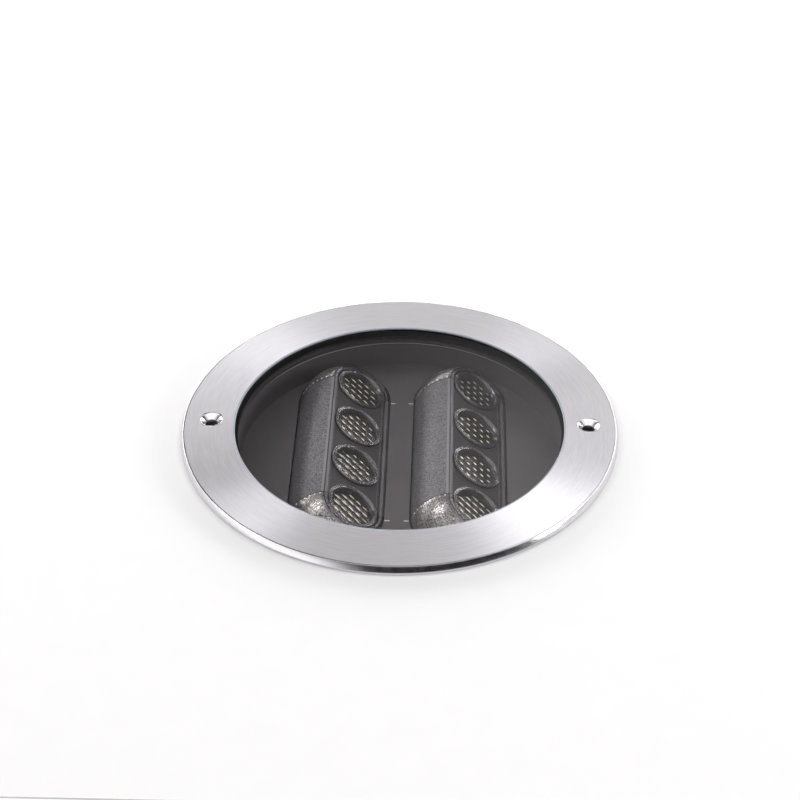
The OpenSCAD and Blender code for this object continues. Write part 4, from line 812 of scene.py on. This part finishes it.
bead_turn = np.radians(np.linspace(180, 0, 17))
inner_bead = np.stack([
    ring_in_r + cone_w + bead_r + bead_r * np.cos(bead_turn),
    bead_z + bead_r * np.sin(bead_turn)], -1)
outer_bead = np.stack([
    ring_out_r - bead_r + bead_r * np.cos(bead_turn), bead_z + bead_r * np.sin(bead_turn)], -1)
# The cone meets the inner bead on its flank, and the two beads meet in a groove above their feet
ring_outline = np.concatenate([
    [(ring_in_r, plate_low), (ring_in_r, cone_low)], inner_bead[3:16], outer_bead[1:],
    [(ring_out_r, plate_top), (ring_in_r + sleeve_t, plate_top), (ring_in_r + sleeve_t, plate_low)]])
ring_points = turned_grid(ring_outline, ring_steps).reshape(-1, 3)
ring_quads = grid_quads(ring_steps, len(ring_outline), True, True)
ring_set = np.concatenate([ring_points + (0, y, 0) for y in lens_places])
ring_set_quads = np.concatenate([ring_quads + n * len(ring_points) for n in range(lens_count)])

ring_gloss = new_finish("glossy_dark_polycarbonate")
ring_flow, ring_tone = grain_tone(ring_gloss, 2, "2C2A2D", "363437")
ring_shine = add_node(ring_gloss, "ShaderNodeMapRange", {
    "Value": ring_flow, "To Min": 0.08, "To Max": 0.11})
ring_shader = add_node(ring_gloss, "ShaderNodeBsdfPrincipled", {
    "Base Color": ring_tone, "Roughness": ring_shine.outputs[0], "IOR": 1.58,
    "Coat Weight": 1.0, "Coat Roughness": 0.07})
add_node(ring_gloss, "ShaderNodeOutputMaterial", {"Surface": ring_shader.outputs[0]})
for side, pod in ((-1, "left"), (1, "right")):
    rings = closed_object(pod + "_lens_rings", in_pod(ring_set, side), ring_set_quads, [ring_gloss])
    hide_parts(pod + "_bezels")
    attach(rings, pod + "_pod")


# Lenses
# Clear acrylic discs over the LEDs. The face is a honeycomb of 19 domes, and each dome carries
# a painted image of the yellow LED below, a small cream streak, longer in one lens and rounder in
# another.
lens_r, lens_base, lens_low = 10.5, 14.9, 9.0
cell_pitch, cell_rise = 4.3, 0.32
lens_rings, lens_steps = 56, 156
led_image_sharpness = 2.2
cell_i, cell_j = np.meshgrid(np.arange(-2, 3), np.arange(-2, 3), indexing="ij")
in_comb = np.abs(cell_i + cell_j) <= 2
cell_centres = np.stack([
    cell_pitch * cell_j[in_comb] * np.sqrt(3) / 2,
    cell_pitch * (cell_i[in_comb] + cell_j[in_comb] / 2)], -1)


def lens_surface():
    """Face points of a lens on rings round its centre, and for each point its way from the
    nearest cell's centre. The height is base + rise * (1 - (d / corner)^2), with d the length
    of that way and corner the way to a comb cell's corner, and never below the base."""
    r = np.linspace(0, lens_r, lens_rings)[None, :, None]
    angle = (np.arange(lens_steps) * 2 * np.pi / lens_steps)[:, None, None]
    flat = np.concatenate([r * np.cos(angle), r * np.sin(angle)], -1)
    way = flat[:, :, None] - cell_centres
    nearest = np.argmin(np.linalg.norm(way, axis=-1), axis=-1)
    way = np.take_along_axis(way, nearest[..., None, None], 2)[:, :, 0]
    d = np.linalg.norm(way, axis=-1)
    rise = cell_rise * np.clip(1 - (d / (cell_pitch / np.sqrt(3))) ** 2, 0, 1)
    return np.concatenate([flat, (lens_base + rise)[..., None]], -1), way


lens_face, lens_way = lens_surface()
lens_wall = turned_grid(np.array([(lens_r, lens_low), (0, lens_low)]), lens_steps)
lens_grid = np.concatenate([lens_face, lens_wall], 1)
lens_quads = grid_quads(lens_steps, lens_grid.shape[1], True, False)
# Painted image of the LED in each lens, front to rear: half length, half width, turn in degrees and
# strength
led_images = {
    "left": (
        (1.8, 0.36, -34, 0.85), (1.2, 0.36, -30, 0.75), (1.4, 0.36, -34, 0.8), (1.8, 0.34, -32, 0.85)),
    "right": (
        (1.9, 0.36, -32, 0.8), (1.1, 0.55, -32, 0.95), (1.2, 0.46, -32, 0.95), (1.2, 0.42, -32, 0.8)),
}

lens_clear = new_finish("clear_moulded_acrylic")
# The painted image of the yellow LED: a cream streak in each dome, read from the mark
led_image_mark = add_node(lens_clear, "ShaderNodeAttribute", attribute_name="streak")
lens_tone_with_led_image = add_node(lens_clear, "ShaderNodeMix", {
    0: led_image_mark.outputs["Fac"], 6: hex_linear("211F1F"), 7: hex_linear("E9E1C4")}, data_type="RGBA")
lens_shader = add_node(lens_clear, "ShaderNodeBsdfPrincipled", {
    "Base Color": lens_tone_with_led_image.outputs[2], "Roughness": 0.17, "IOR": 1.49})
add_node(lens_clear, "ShaderNodeOutputMaterial", {"Surface": lens_shader.outputs[0]})
for side, pod in ((-1, "left"), (1, "right")):
    marks = []
    for half_long, half_wide, turn, strength in led_images[pod]:
        c, s = np.cos(np.radians(turn)), np.sin(np.radians(turn))
        along = (lens_way[..., 0] * c + lens_way[..., 1] * s) / half_long
        across = (lens_way[..., 1] * c - lens_way[..., 0] * s) / half_wide
        mark = strength * np.clip(led_image_sharpness * (1 - np.hypot(along, across)), 0, 1)
        marks.append(np.concatenate([mark, np.zeros((lens_steps, 2))], 1).ravel())
    lens_points = np.concatenate([lens_grid.reshape(-1, 3) + (0, y, 0) for y in lens_places])
    lens_faces = np.concatenate([
        lens_quads + n * lens_grid[..., 0].size for n in range(lens_count)])
    lenses = closed_object(
        pod + "_lens_discs", in_pod(lens_points, side), lens_faces, [lens_clear],
        crease=50, marks={"streak": np.concatenate(marks)})
    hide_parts(pod + "_lenses")
    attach(lenses, pod + "_pod")


# LED boards and LEDs
# Aluminium boards under white solder mask, and LEDs with yellow phosphor in clear silicone,
# soldered on in one row.
board_white = new_finish("white_solder_mask")
board_tone = grain_tone(board_white, 3, "E2E2DC", "F0F0EC")[1]
board_shader = add_node(board_white, "ShaderNodeBsdfPrincipled", {
    "Base Color": board_tone, "Roughness": 0.35})
add_node(board_white, "ShaderNodeOutputMaterial", {"Surface": board_shader.outputs[0]})
dress(board_white, "left_led_board", "right_led_board")

phosphor = new_finish("yellow_phosphor_silicone")
phosphor_tone = grain_tone(phosphor, 0.4, "E4C64A", "F2DA6E")[1]
phosphor_shader = add_node(phosphor, "ShaderNodeBsdfPrincipled", {
    "Base Color": phosphor_tone, "Roughness": 0.3, "IOR": 1.41})
add_node(phosphor, "ShaderNodeOutputMaterial", {"Surface": phosphor_shader.outputs[0]})
dress(phosphor, "left_leds", "right_leds")
